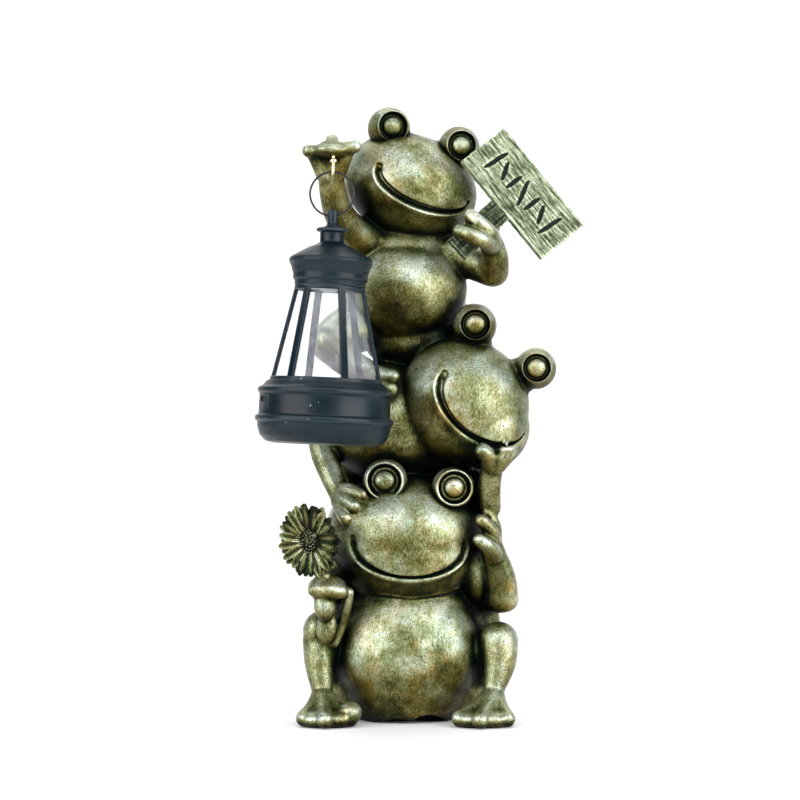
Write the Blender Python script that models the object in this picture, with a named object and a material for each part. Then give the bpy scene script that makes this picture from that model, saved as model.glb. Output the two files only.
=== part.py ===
# Frog garden statue: three cast frogs stacked on one another. The top frog holds out a small
# lantern on a hook and a plank sign, the bottom frog a daisy.
# All sizes are millimetres, and each finished mesh is scaled to metres. +Z is up, the frogs face
# -Y, and the origin is on the flat underside below the bottom frog's belly.

import math
from collections import namedtuple

import bmesh
import bpy
import numpy as np
from mathutils import Euler, Matrix, Vector
from mathutils.bvhtree import BVHTree

MM = 0.001
GAP = 0.3

# Casting
VOXEL = 1.3
SMOOTH_PASSES = 5
BODY_TRIANGLES = 2950
LIMB_SIDES = 16
PATH_STEPS = 6
CAP_STEPS = 3

# Faces, shared by the three frogs
EYE_RADIUS = 13.0
EYE_SIDES = 14
EYE_BACK_RINGS = 3
EYE_LIFT = 0.0
EYE_SOCKET_RADIUS = 9.1
PUPIL_RADIUS = 6.2
PUPIL_RISE = 2.6
EYE_RIM_HEIGHT = 9.9
EYE_SOCKET_HEIGHT = 6.6
PUPIL_BASE_HEIGHT = 8.0
MOUTH_RADIUS = 2.7
MOUTH_LIFT = 0.7
MOUTH_END_RADIUS = 0.9
MOUTH_SIDES = 6
MOUTH_SEGMENTS = 13
UPPER_LIP_RISE = 1.2
UPPER_LIP_REACH = 7.0
LOWER_LIP_RISE = 1.0
LOWER_LIP_PLACE = 4.6
LOWER_LIP_REACH = 2.0

# Two shallow arches under the belly's front edge, as x, half width and height
UNDER_ARCHES = ((-5.5, 13.6, 3.4), (12.7, 12.1, 5.9))
ARCH_FRONT = -60.0
ARCH_BACK = -16.0
ARCH_SIDES = 32

# Daisy
DAISY_CENTRE = (-60.7, -48.0, 116.0)
DAISY_RADIUS = 24.0
DAISY_YAW = -35.0
DAISY_PITCH = 6.0
DAISY_CUP = 8.0
DAISY_PETALS = 17
DAISY_THICKNESS = 3.4
DAISY_EYE_RADIUS = 7.5
DAISY_EYE_RISE = 3.2
PETAL_SAMPLES = 4
PETAL_NOTCH = 0.15
PETAL_VALLEY = 1.5
PETAL_TROUGH = 0.7

# Plank sign
SIGN_CENTRE = (71.2, -38.0, 332.0)
SIGN_LENGTH = 79.0
SIGN_WIDTH = 35.5
SIGN_THICKNESS = 6.0
SIGN_SLOPE = 50.7
SIGN_TILT = 14.0
SIGN_BEVEL = 0.8
POST_WIDTH = 16.5
POST_LENGTH = 40.0
POST_THICKNESS = 5.6
POST_SLANT = 4.0
STROKE_COUNT = 7
STROKE_WIDTH = 1.8
STROKE_DEPTH = 0.7

# Lantern, measured up its own axis from the bottom of the bowl
LANTERN_FOOT = (-51.8, -70.0, 175.3)
LANTERN_LEAN = 2.5
LANTERN_SIDES = 24
CAP_SIDES = 22
LENS_SIDES = 16
ROD_SIDES = 12
PANE_FOOT_HEIGHT = 38.6
PANE_TOP_HEIGHT = 96.0
PANE_FOOT_RADIUS = 34.2
PANE_TOP_RADIUS = 21.4
LINER_INSET = 2.4
LINER_WALL = 1.2
CAGE_POSTS = 6
CAGE_FIRST_POST = 52.0
POST_BAR_WIDTH = 4.4
POST_BAR_DEPTH = 2.2
CAGE_RING_HEIGHT = 2.0
SWITCH_BEARING = 205.0
SWITCH_SLOT = (4.0, 12.0, 3.2)
LENS_RADIUS = 8.5
LENS_HEIGHT = 6.0
STUB_RADIUS = 3.3
STUB_TOP = 143.3
STUB_HOLE_RADIUS = 1.9
RING_SLACK = 0.4

# Hanging ring and hook
RING_CENTRE = (-46.3, -70.0, 328.3)
RING_RADIUS = 13.4
RING_WIRE = 0.65
HOOK_X = -45.6
HOOK_WIRE = 1.0
HOOK_BEND = 3.2
HOOK_SOCKET_DEPTH = 5.0
HOOK_TOP = 356.0
HOOK_COLLAR_RADIUS = 2.3
HOOK_COLLAR_BOTTOM = 348.0
HOOK_COLLAR_HEIGHT = 1.8

Head = namedtuple("Head", "centre half_width half_depth half_height roll yaw")
Mouth = namedtuple("Mouth", "x z half_width depth roll")
Eye = namedtuple("Eye", "x y z radius yaw")

HEADS = {
    "bottom": Head((-2.0, -7.0, 118.0), 51.0, 43.0, 39.0, 4.5, 4.0),
    "middle": Head((36.0, -13.0, 202.5), 42.5, 38.0, 39.5, 36.0, 14.0),
    "top": Head((1.5, -9.0, 340.0), 43.5, 38.0, 33.0, 18.0, 9.0),
}

MOUTHS = {
    "bottom": Mouth(0.6, 114.5, 35.4, 21.6, 3.0),
    "middle": Mouth(47.7, 200.6, 31.6, 20.8, 37.0),
    "top": Mouth(9.8, 338.3, 30.0, 14.2, 20.5),
}

EYES = {
    "bottom": (Eye(-14.1, -30.0, 152.8, 13.2, -4.0), Eye(28.3, -30.0, 148.5, 12.7, 6.0)),
    "middle": (Eye(42.2, -22.0, 250.8, 13.5, 0.0), Eye(80.6, -22.0, 223.6, 12.8, 1.0)),
    "top": (Eye(-12.0, -22.0, 376.3, 13.3, 16.0), Eye(32.2, -20.0, 363.5, 12.8, 10.0)),
}

# The bottom frog's legs: distance of the knee from the middle and its radius, the same of the calf
LEFT_LEG = (57.4, 12.8, 57.8, 10.6)
RIGHT_LEG = (54.6, 12.4, 56.0, 9.6)
# Tips of the bottom frog's toes, x and y
LEFT_TOES = ((32.0, -46.0), (44.5, -55.0), (61.5, -47.0))
RIGHT_TOES = ((-64.5, -45.0), (-51.0, -54.5), (-36.0, -46.0))


def clear_scene():
    for old in list(bpy.data.objects):
        bpy.data.objects.remove(old, do_unlink=True)


def material(name, colour, roughness, metallic, alpha=1.0):
    made = bpy.data.materials.new(name)
    made.use_nodes = True
    shader = made.node_tree.nodes["Principled BSDF"]
    shader.inputs["Base Color"].default_value = (*colour, 1.0)
    shader.inputs["Roughness"].default_value = roughness
    shader.inputs["Metallic"].default_value = metallic
    shader.inputs["Alpha"].default_value = alpha
    return made


def mesh_object(name, bm, finish=None, to_metres=True):
    """A new object from the bmesh, which is in millimetres."""
    bmesh.ops.recalc_face_normals(bm, faces=bm.faces)
    if to_metres:
        bm.transform(Matrix.Scale(MM, 4))
    mesh = bpy.data.meshes.new(name)
    bm.to_mesh(mesh)
    bm.free()
    made = bpy.data.objects.new(name, mesh)
    bpy.context.scene.collection.objects.link(made)
    if finish:
        mesh.materials.append(finish)
    return made


def hide_helper(helper):
    helper.hide_render = True
    helper.display_type = "WIRE"
    return helper


def cut(target, cutter, operation="DIFFERENCE"):
    modifier = target.modifiers.new(cutter.name, "BOOLEAN")
    modifier.operation = operation
    modifier.solver = "EXACT"
    modifier.object = hide_helper(cutter)


def shade_round(made, degrees=35.0):
    made.data.shade_smooth()
    made.data.set_sharp_from_angle(angle=math.radians(degrees))


# Primitives of the modelling clay

def ellipsoid(bm, centre, radii, roll=0.0, yaw=0.0):
    """roll turns it clockwise as seen from the front, and yaw turns its front towards +X."""
    turn = Euler((0.0, math.radians(roll), math.radians(yaw)), "XYZ")
    place = Matrix.LocRotScale(Vector(centre), turn, Vector(radii))
    bmesh.ops.create_icosphere(bm, subdivisions=4, radius=1.0, matrix=place)


def smooth_path(stations, steps):
    """Points of a Catmull-Rom curve through the stations, each x, y, z and radius."""
    given = np.array(stations, float)
    ends = (2 * given[0] - given[1], 2 * given[-1] - given[-2])
    padded = np.vstack([ends[0], given, ends[1]])
    path = []
    for a, b, c, d in zip(padded, padded[1:], padded[2:], padded[3:]):
        for step in range(steps):
            t = step / steps
            slope = (c - a) * t
            bend = (2 * a - 5 * b + 4 * c - d) * t**2
            twist = (3 * b - a - 3 * c + d) * t**3
            path.append(0.5 * (2 * b + slope + bend + twist))
    path.append(given[-1])
    return np.array(path)


def rounded_ends(path):
    """The path with a half ball of shrinking stations at each end."""
    angles = [math.pi / 2 * k / (CAP_STEPS + 1) for k in range(1, CAP_STEPS + 1)]

    def cap(end, inner):
        way = (end - inner)[:3]
        way = way / np.linalg.norm(way)
        rounds = []
        for angle in angles:
            centre = end[:3] + way * end[3] * math.sin(angle)
            rounds.append(np.append(centre, end[3] * math.cos(angle)))
        return rounds, end[:3] + way * end[3]

    first, first_pole = cap(path[0], path[1])
    last, last_pole = cap(path[-1], path[-2])
    return np.vstack([first[::-1], path, last]), first_pole, last_pole


def limb(bm, stations, sides=LIMB_SIDES, steps=PATH_STEPS):
    """A round limb with rounded ends through stations of x, y, z and radius."""
    path, first_pole, last_pole = rounded_ends(smooth_path(stations, steps))
    side = Vector((0.31, 0.83, 0.46))
    rings = []
    for k, station in enumerate(path):
        ahead = path[min(k + 1, len(path) - 1)][:3] - path[max(k - 1, 0)][:3]
        tangent = Vector(ahead).normalized()
        side = (side - tangent * side.dot(tangent)).normalized()
        other = tangent.cross(side)
        centre = Vector(station[:3])
        ring = []
        for j in range(sides):
            angle = 2 * math.pi * j / sides
            spoke = side * math.cos(angle) + other * math.sin(angle)
            ring.append(bm.verts.new(centre + spoke * station[3]))
        rings.append(ring)
    for low, high in zip(rings, rings[1:]):
        for j in range(sides):
            after = (j + 1) % sides
            bm.faces.new((low[j], low[after], high[after], high[j]))
    for ring, pole in ((rings[0], first_pole), (rings[-1], last_pole)):
        tip = bm.verts.new(Vector(pole))
        for j in range(sides):
            bm.faces.new((ring[j], ring[(j + 1) % sides], tip))


# The frogs

def head(bm, name):
    shape = HEADS[name]
    radii = (shape.half_width, shape.half_depth, shape.half_height)
    ellipsoid(bm, shape.centre, radii, shape.roll, shape.yaw)
    for eye in EYES[name]:
        centre = Vector(shape.centre)
        root = Vector((eye.x, eye.y + 5.0, eye.z)).lerp(centre, 0.2)
        ellipsoid(bm, root, (eye.radius * 0.9,) * 3)


def bottom_frog(bm):
    ellipsoid(bm, (-1.0, 0.0, 30.0), (42.0, 42.0, 43.0))
    ellipsoid(bm, (-14.0, -4.0, 44.0), (33.0, 36.0, 42.0))
    ellipsoid(bm, (13.0, -4.0, 44.0), (33.0, 36.0, 42.0))
    ellipsoid(bm, (-1.0, 0.0, 40.0), (45.3, 44.0, 46.0))
    ellipsoid(bm, (-1.0, 1.0, 46.0), (45.4, 43.5, 53.0))
    ellipsoid(bm, (-1.0, 3.0, 62.0), (43.5, 39.0, 38.0))
    ellipsoid(bm, (-1.0, 8.0, 20.0), (54.0, 30.0, 34.0))
    ellipsoid(bm, (2.0, 14.0, 58.0), (58.0, 26.0, 50.0))
    ellipsoid(bm, (44.0, -4.0, 100.0), (13.0, 22.0, 26.0))
    ellipsoid(bm, (-40.0, -2.0, 96.0), (13.0, 22.0, 20.0))
    head(bm, "bottom")
    ellipsoid(bm, (-2.0, -9.0, 108.0), (46.0, 40.5, 35.5), 4.5, 4.0)
    # Left arm, its elbow on the knee and the hand on the cheek
    limb(bm, [(40, 6, 84, 11), (56, -6, 78, 10), (61.5, -20, 78, 8.8)])
    limb(bm, [(61, -20, 79, 9.2), (59, -24, 92, 9), (55, -28, 105, 7.6), (51.5, -31, 115, 7)])
    limb(bm, [(53, -31, 111, 6), (52, -36, 121, 5), (46, -40, 128, 4.4)])
    limb(bm, [(54, -33, 106, 6), (50, -41, 112, 5), (44.5, -44, 116, 4.4)])
    limb(bm, [(54, -27, 112, 5.4), (54.5, -28, 124, 4.4), (50, -30, 132, 3.9)])
    # Right arm and the fist round the daisy's stem
    limb(bm, [(-40, 4, 84, 11), (-52, -12, 84, 10), (-51, -30, 85, 8)])
    ellipsoid(bm, (-50.5, -38.0, 86.5), (12.3, 11.0, 8.0))
    limb(bm, [(-58, -42, 85, 4.8), (-50.5, -46, 85, 5.2), (-42, -43.5, 84, 4.8)])
    ellipsoid(bm, (-52.0, -41.0, 76.0), (7.0, 7.0, 10.5))
    # Thighs, shins and feet
    ellipsoid(bm, (-55.0, -22.0, 58.0), (11.5, 11.0, 12.5))
    for side, leg, tips in ((1, LEFT_LEG, LEFT_TOES), (-1, RIGHT_LEG, RIGHT_TOES)):
        knee, knee_radius, calf, calf_radius = leg
        thigh = [(36 * side, 20, 24, 17), (46 * side, 2, 36, 16)]
        limb(bm, thigh + [(knee * side, -18, 50, knee_radius)])
        shin = [(knee * side, -20, 51, knee_radius), (calf * side, -24, 38, calf_radius)]
        limb(bm, shin + [(54.0 * side, -28, 22, 7.0)])
        ankle = (54.0 * side, -30, 18, 7.0)
        for tip in tips:
            toe = (tip[0], tip[1], 5.4, 5.4)
            knuckle = tuple(0.45 * a + 0.55 * b for a, b in zip(ankle, toe))
            limb(bm, [ankle, (knuckle[0], knuckle[1], 10.0, 5.4), toe])
        ellipsoid(bm, (50.0 * side, -38.0, 4.5), (17.0, 15.0, 6.5))
        for one, other in zip(tips, tips[1:]):
            web = ((one[0] + other[0]) / 2, (one[1] + other[1]) / 2 + 5.0, 5.0)
            ellipsoid(bm, web, (9.0, 10.0, 6.0))
    ellipsoid(bm, (-36.0, -44.0, 9.0), (7.5, 8.0, 7.0))


def middle_frog(bm):
    ellipsoid(bm, (-12.0, 3.0, 190.0), (45.0, 36.0, 39.0), 10.0)
    ellipsoid(bm, (20.0, 8.0, 186.0), (34.0, 30.0, 34.0))
    head(bm, "middle")
    ellipsoid(bm, (49.8, -14.0, 186.5), (27.6, 31.0, 27.0))
    # Right arm down to the bottom frog's head
    arm = [(-44, -2, 206, 11), (-54, -5, 190, 9.5), (-54, -8, 172, 8.8)]
    limb(bm, arm + [(-48, -16, 155, 7.6), (-42.5, -22, 143, 6.8)])
    limb(bm, [(-44, -21, 146, 6), (-36.5, -29, 146.5, 5), (-29, -34, 144, 4.2)])
    limb(bm, [(-43.5, -23, 143, 5.8), (-38.5, -32, 140.5, 4.9), (-33.5, -38, 137, 4.2)])
    limb(bm, [(-43.5, -23, 140, 5.6), (-41.5, -31, 134, 4.8), (-39.5, -37, 129.5, 4.2)])
    # Left arm, its elbow on the bottom frog's brow and the hand under the chin
    limb(bm, [(44, 0, 150, 9), (50, -18, 138, 8), (51.5, -26, 137, 7)])
    limb(bm, [(51.5, -26, 136, 7.2), (51, -30, 148, 7.4), (52.5, -33, 160, 7), (55, -35, 168, 7)])
    limb(bm, [(53, -37, 162, 6), (50, -43, 168, 5.2), (46, -46, 171.5, 4.6)])
    limb(bm, [(56, -38, 163, 6), (60, -42, 168, 5.2), (61.5, -43.5, 172, 4.6)])
    limb(bm, [(57, -33, 164, 6), (62, -33, 168, 5.0), (65, -32, 170, 4.2)])
    # Legs folded round the back of the bottom frog's head
    for side in (1, -1):
        limb(bm, [(24 * side, 18, 176, 19), (38 * side, 27, 160, 15), (37 * side, 25, 144, 12)])
        limb(bm, [(37 * side, 25, 146, 10.5), (38 * side, 24, 128, 8.5), (40 * side, 18, 116, 6.5)])


def top_frog(bm):
    ellipsoid(bm, (-2.0, 0.0, 275.0), (40.0, 37.0, 34.5))
    ellipsoid(bm, (-1.0, 4.0, 296.0), (34.0, 30.0, 26.0))
    ellipsoid(bm, (4.0, 10.0, 246.0), (34.0, 28.0, 24.0))
    head(bm, "top")
    # Right arm held up, the hand a tray that carries the hook
    arm = [(-22, -8, 303, 13), (-36, -24, 311, 11), (-43.5, -38, 321, 9.6)]
    limb(bm, arm + [(-47, -48, 335, 8.4), (-48, -54.5, 348, 7.6)])
    ellipsoid(bm, (-47.5, -61.0, 355.8), (12.5, 11.5, 5.0))
    limb(bm, [(-50, -61, 355, 4.6), (-57, -62, 355, 4.3), (-61, -63, 355.5, 4.2)])
    limb(bm, [(-45, -62, 356, 4.6), (-38, -64, 357, 4.3), (-32.5, -65, 358, 4.2)])
    limb(bm, [(-47.5, -57, 355, 5), (-47, -52, 359, 5), (-47, -50, 363.5, 4.4)])
    limb(bm, [(-57, -60, 353, 4.8), (-51, -55, 342, 6)])
    limb(bm, [(-37.5, -61, 354.5, 4.6), (-44, -54, 343, 6)])
    # Left arm, bent, the hand round the sign's post
    limb(bm, [(26, -6, 298, 13), (42, -12, 291, 11), (53.5, -20, 285, 10)])
    limb(bm, [(54, -21, 285, 10), (54.5, -30, 294, 8.6), (51, -37, 305, 7.2)])
    ellipsoid(bm, (47.5, -40.0, 309.0), (9.5, 6.5, 10.0), -30.0)
    limb(bm, [(53, -42, 303, 5.5), (50, -53, 307, 5), (44, -57, 312, 4.8), (38.5, -55, 317, 4.2)])
    limb(bm, [(52, -42, 299, 5.5), (47, -56, 301, 5), (39, -60, 304, 4.8), (31.5, -58, 307, 4.2)])
    limb(bm, [(52, -38, 309, 5), (55, -40, 317, 4.2), (55, -40, 322, 3.8)])
    ellipsoid(bm, (42.5, -53.0, 308.5), (10.0, 3.4, 7.0), 38.0)
    # Right leg, its foot on the middle frog's shoulder
    limb(bm, [(-20, 6, 256, 18), (-38, -8, 248, 16), (-48, -18, 241, 14)])
    limb(bm, [(-48, -18, 240, 14), (-38, -24, 228, 10), (-25, -27, 221, 8)])
    limb(bm, [(-25, -27, 221, 7), (-16, -33, 219, 5.4), (-9.5, -36, 218, 4.6)])
    limb(bm, [(-24, -27, 219, 6.5), (-16, -33, 214, 5), (-10, -35, 209.5, 4.4)])
    limb(bm, [(-24, -26, 219, 6.5), (-19, -30, 210, 5), (-16, -32, 203, 4.4)])
    # Left leg folded down the back of the middle frog's head
    limb(bm, [(24, 14, 256, 18), (38, 22, 244, 15), (44, 22, 230, 13)])
    limb(bm, [(44, 22, 232, 11), (48, 20, 214, 9), (48, 16, 200, 7)])


def daisy_stem(bm):
    centre = Vector(DAISY_CENTRE)
    limb(bm, [(-58, -42, 106, 6), (-54, -42, 97, 5), (-51, -42, 86, 3.6), (-51, -42, 72, 3.4)])
    limb(bm, [(*(centre + Vector((3.0, 4.0, -1.0))), 7.0), (-57, -40, 104, 6)])
    ellipsoid(bm, (-51.0, -37.0, 61.0), (6.5, 4.0, 11.5), 5.0)
    limb(bm, [(-37, -36, 83, 3.6), (-39, -34, 72, 3.6), (-42, -31, 61, 3.6), (-46, -31, 51, 3.2)])


def evaluated_mesh(made):
    graph = bpy.context.evaluated_depsgraph_get()
    return bpy.data.meshes.new_from_object(made.evaluated_get(graph))


def remeshed(name, bm, voxel, passes):
    """One skin over all the overlapping shapes, with soft creases where they meet."""
    rough = mesh_object(name, bm, to_metres=False)
    skin = rough.modifiers.new("skin", "REMESH")
    skin.mode = "VOXEL"
    skin.voxel_size = voxel
    soften = rough.modifiers.new("soften", "SMOOTH")
    soften.factor = 0.5
    soften.iterations = passes
    mesh = evaluated_mesh(rough)
    bpy.data.objects.remove(rough, do_unlink=True)
    return mesh


def drop_bubbles(mesh):
    """Keeps the outer skin alone, without the small closed bubbles left between the shapes."""
    bm = bmesh.new()
    bm.from_mesh(mesh)
    unseen = set(bm.verts)
    skins = []
    while unseen:
        skin = []
        reached = [unseen.pop()]
        while reached:
            vert = reached.pop()
            skin.append(vert)
            for edge in vert.link_edges:
                other = edge.other_vert(vert)
                if other in unseen:
                    unseen.remove(other)
                    reached.append(other)
        skins.append(skin)
    skins.sort(key=len)
    for skin in skins[:-1]:
        bmesh.ops.delete(bm, geom=skin, context="VERTS")
    bm.to_mesh(mesh)
    bm.free()


def mouth_line(tree, mouth):
    """The lower half of an ellipse, laid on the face from the front and lifted a little off it."""
    turn = math.radians(mouth.roll)
    line = []
    for k in range(MOUTH_SEGMENTS + 1):
        angle = math.pi * k / MOUTH_SEGMENTS
        across = -mouth.half_width * math.cos(angle)
        down = -mouth.depth * math.sin(angle)
        x = mouth.x + across * math.cos(turn) + down * math.sin(turn)
        z = mouth.z - across * math.sin(turn) + down * math.cos(turn)
        hit, normal, _, _ = tree.ray_cast(Vector((x, -300.0, z)), Vector((0.0, 1.0, 0.0)))
        line.append(hit + normal * MOUTH_LIFT)
    return np.array(line)


def raise_lips(points, normals, line, mouth):
    """Swells a full upper lip over the mouth line and a thin lower one below it."""
    nearest = np.full(len(points), np.inf)
    along = np.zeros(len(points))
    for k, (a, b) in enumerate(zip(line, line[1:])):
        way = b - a
        t = np.clip(((points - a) @ way) / (way @ way), 0.0, 1.0)
        distance = np.linalg.norm(points - a - t[:, None] * way, axis=1)
        closer = distance < nearest
        nearest[closer] = distance[closer]
        along[closer] = (k + t[closer]) / (len(line) - 1)
    fade = np.clip(6.0 * np.minimum(along, 1.0 - along) + 0.35, 0.0, 1.0)
    turn = math.radians(mouth.roll)
    across = (points[:, 0] - mouth.x) * math.cos(turn) - (points[:, 2] - mouth.z) * math.sin(turn)
    up = (points[:, 0] - mouth.x) * math.sin(turn) + (points[:, 2] - mouth.z) * math.cos(turn)
    inside = (across / mouth.half_width) ** 2 + (up / mouth.depth) ** 2 < 1.0
    upper = UPPER_LIP_RISE * np.exp(-((nearest / UPPER_LIP_REACH) ** 2))
    lower = LOWER_LIP_RISE * np.exp(-(((nearest - LOWER_LIP_PLACE) / LOWER_LIP_REACH) ** 2))
    return points + normals * (np.where(inside, upper, lower) * fade)[:, None]


def make_mouth(name, line):
    """The groove's cutter: a tube along the mouth line that thins towards the corners."""
    bm = bmesh.new()
    stations = []
    for k, point in enumerate(line):
        swell = math.sqrt(max(0.0, math.sin(math.pi * k / MOUTH_SEGMENTS)))
        stations.append((*point, MOUTH_END_RADIUS + (MOUTH_RADIUS - MOUTH_END_RADIUS) * swell))
    limb(bm, stations, MOUTH_SIDES, 1)
    return mesh_object(name, bm)


def eye_profile():
    """Half section of an eyeball: a domed pupil in a round socket with a full rim, closed behind."""
    points = [(0.0, PUPIL_BASE_HEIGHT + PUPIL_RISE)]
    points.append((0.72 * PUPIL_RADIUS, PUPIL_BASE_HEIGHT + 0.7 * PUPIL_RISE))
    points.append((PUPIL_RADIUS, PUPIL_BASE_HEIGHT))
    points.append((PUPIL_RADIUS + 0.5, EYE_SOCKET_HEIGHT))
    points.append((EYE_SOCKET_RADIUS - 0.3, EYE_SOCKET_HEIGHT))
    points.append((EYE_SOCKET_RADIUS, EYE_RIM_HEIGHT - 0.6))
    points.append((EYE_SOCKET_RADIUS + 0.8, EYE_RIM_HEIGHT))
    first = math.acos(EYE_RIM_HEIGHT / EYE_RADIUS)
    for k in range(EYE_BACK_RINGS):
        angle = first + (math.radians(150.0) - first) * (k + 1) / EYE_BACK_RINGS
        points.append((EYE_RADIUS * math.sin(angle), EYE_RADIUS * math.cos(angle)))
    points.append((0.0, -EYE_RADIUS))
    return points


def make_eye(name, eye):
    scale = eye.radius / EYE_RADIUS
    profile = [(radius * scale, height * scale) for radius, height in eye_profile()]
    ball = turned(name, profile, EYE_SIDES)
    ball.location = Vector((eye.x, eye.y, eye.z)) * MM
    ball.rotation_euler = (math.radians(90.0 + EYE_LIFT), 0.0, math.radians(eye.yaw))
    return ball


def casting_mesh(voxel, passes):
    """The three frogs in one skin, and the line of each mouth."""
    bm = bmesh.new()
    bottom_frog(bm)
    middle_frog(bm)
    top_frog(bm)
    daisy_stem(bm)
    mesh = remeshed("clay", bm, voxel, passes)
    drop_bubbles(mesh)
    count = len(mesh.vertices)
    points = np.empty(count * 3, np.float32)
    mesh.vertices.foreach_get("co", points)
    points = points.reshape(-1, 3).astype(float)
    normals = np.empty(count * 3, np.float32)
    mesh.vertices.foreach_get("normal", normals)
    normals = normals.reshape(-1, 3)
    faces = [tuple(face.vertices) for face in mesh.polygons]
    tree = BVHTree.FromPolygons([Vector(p) for p in points], faces)
    lines = {name: mouth_line(tree, mouth) for name, mouth in MOUTHS.items()}
    for name, line in lines.items():
        points = raise_lips(points, normals, line, MOUTHS[name])
    mesh.vertices.foreach_set("co", (points * MM).astype(np.float32).ravel())
    mesh.update()
    return mesh, lines


def daisy_matrix():
    turn = Euler((math.radians(90.0 + DAISY_PITCH), 0.0, math.radians(DAISY_YAW)), "XYZ")
    return Matrix.LocRotScale(Vector(DAISY_CENTRE), turn, None)


def daisy_height(fraction, ridge):
    """Height of the petals above the flower's plane. ridge is 0 on a petal's middle and 1 between two."""
    reach = fraction * DAISY_RADIUS
    if reach < DAISY_EYE_RADIUS:
        return DAISY_EYE_RISE * math.sqrt(1.0 - (reach / DAISY_EYE_RADIUS) ** 2) + 1.0
    cup = reach * math.tan(math.radians(DAISY_CUP))
    rim = PETAL_TROUGH * math.sin(math.pi * min(1.0, ridge * 1.4))
    return cup + rim - PETAL_VALLEY * ridge**4 - PETAL_TROUGH


def daisy(bm):
    """A disc with a scalloped edge, whose top is ploughed into petals, closed by a plainer back."""
    columns = DAISY_PETALS * PETAL_SAMPLES
    fractions = (0.18, 0.33, 0.62, 0.88, 1.0)
    place = daisy_matrix()
    rings = []
    for fraction in fractions:
        ring = []
        for column in range(columns):
            angle = 2 * math.pi * column / columns
            ridge = abs(math.sin(DAISY_PETALS * angle / 2))
            reach = DAISY_RADIUS * fraction
            if fraction > 0.8:
                reach *= 1.0 - PETAL_NOTCH * ridge**3
            at = Vector((reach * math.cos(angle), reach * math.sin(angle), daisy_height(fraction, ridge)))
            ring.append(bm.verts.new(place @ at))
        rings.append(ring)
    back = []
    for column in range(columns):
        angle = 2 * math.pi * column / columns
        ridge = abs(math.sin(DAISY_PETALS * angle / 2))
        reach = DAISY_RADIUS * (0.97 - PETAL_NOTCH * ridge**3)
        height = daisy_height(1.0, 0.5) - DAISY_THICKNESS
        at = Vector((reach * math.cos(angle), reach * math.sin(angle), height))
        back.append(bm.verts.new(place @ at))
    rings.append(back)
    for low, high in zip(rings, rings[1:]):
        for j in range(columns):
            after = (j + 1) % columns
            bm.faces.new((low[j], low[after], high[after], high[j]))
    top = bm.verts.new(place @ Vector((0.0, 0.0, daisy_height(0.0, 0.0))))
    under = bm.verts.new(place @ Vector((0.0, 0.0, -DAISY_THICKNESS - 2.0)))
    for ring, tip in ((rings[0], top), (back, under)):
        for j in range(columns):
            bm.faces.new((ring[j], ring[(j + 1) % columns], tip))


def rod(bm, radius, length, place, sides=ROD_SIDES):
    bmesh.ops.create_cone(
        bm, cap_ends=True, segments=sides, radius1=radius, radius2=radius, depth=length, matrix=place
    )


def under_arch(name, x, half_width, height):
    """A rod laid front to back, as round as the arch that it cuts."""
    bm = bmesh.new()
    radius = (half_width**2 + height**2) / (2 * height)
    middle = (x, (ARCH_FRONT + ARCH_BACK) / 2, height - radius)
    place = Matrix.Translation(middle) @ Matrix.Rotation(math.pi / 2, 4, "X")
    rod(bm, radius, ARCH_BACK - ARCH_FRONT, place, ARCH_SIDES)
    return mesh_object(name, bm)


def box_cutter(name, size, place):
    bm = bmesh.new()
    bmesh.ops.create_cube(bm, size=1.0, matrix=place @ Matrix.Diagonal((*size, 1.0)))
    return mesh_object(name, bm)


def make_casting(finish):
    mesh, lines = casting_mesh(VOXEL, SMOOTH_PASSES)
    mesh.name = "frog_stack"
    frogs = bpy.data.objects.new("frog_stack", mesh)
    bpy.context.scene.collection.objects.link(frogs)
    mesh.materials.clear()
    mesh.materials.append(finish)
    thin = frogs.modifiers.new("facets", "DECIMATE")
    thin.ratio = BODY_TRIANGLES / (2 * len(mesh.polygons))
    thin.use_collapse_triangulate = True
    for name, pair in EYES.items():
        for side, eye in zip(("right", "left"), pair):
            cut(frogs, make_eye(name + "_frog_" + side + "_eye", eye), "UNION")
    for name, line in lines.items():
        cut(frogs, make_mouth(name + "_frog_mouth", line))
    flower = bmesh.new()
    daisy(flower)
    cut(frogs, mesh_object("daisy_head", flower), "UNION")
    floor = box_cutter("ground_plane", (300.0, 300.0, 60.0), Matrix.Translation((0.0, 0.0, -30.0)))
    cut(frogs, floor)
    for side, arch in zip(("right", "left"), UNDER_ARCHES):
        cut(frogs, under_arch(side + "_under_arch", *arch))
    size = (POST_WIDTH + 2 * GAP, POST_LENGTH + 10.0, SIGN_THICKNESS + 2 * GAP)
    slot = sign_matrix() @ post_matrix() @ Matrix.Translation((0.0, 4.0, 0.0))
    cut(frogs, box_cutter("post_slot", size, slot))
    socket = bmesh.new()
    place = Matrix.Translation((HOOK_X, hook_shank_y(), HOOK_TOP + GAP - HOOK_SOCKET_DEPTH))
    radius = HOOK_WIRE + GAP
    rod(socket, radius, 2 * HOOK_SOCKET_DEPTH, place)
    cut(frogs, mesh_object("hook_socket", socket))
    return frogs


# The sign

def sign_matrix():
    """The board's own frame: X along its length, Y up its width, Z out of its face."""
    upright = Matrix.Rotation(math.radians(90.0), 4, "X")
    slope = Matrix.Rotation(math.radians(SIGN_SLOPE), 4, "Y")
    tilt = Matrix.Rotation(math.radians(-SIGN_TILT), 4, "X")
    return Matrix.Translation(SIGN_CENTRE) @ slope @ upright @ tilt


def post_matrix():
    """The post's frame in the board's, with Y along it and its origin at its middle."""
    slant = Matrix.Rotation(math.radians(POST_SLANT), 4, "Z")
    reach = -(SIGN_WIDTH + POST_LENGTH) / 2 + 1.0
    return slant @ Matrix.Translation((-2.0, reach, 0.0))


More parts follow.
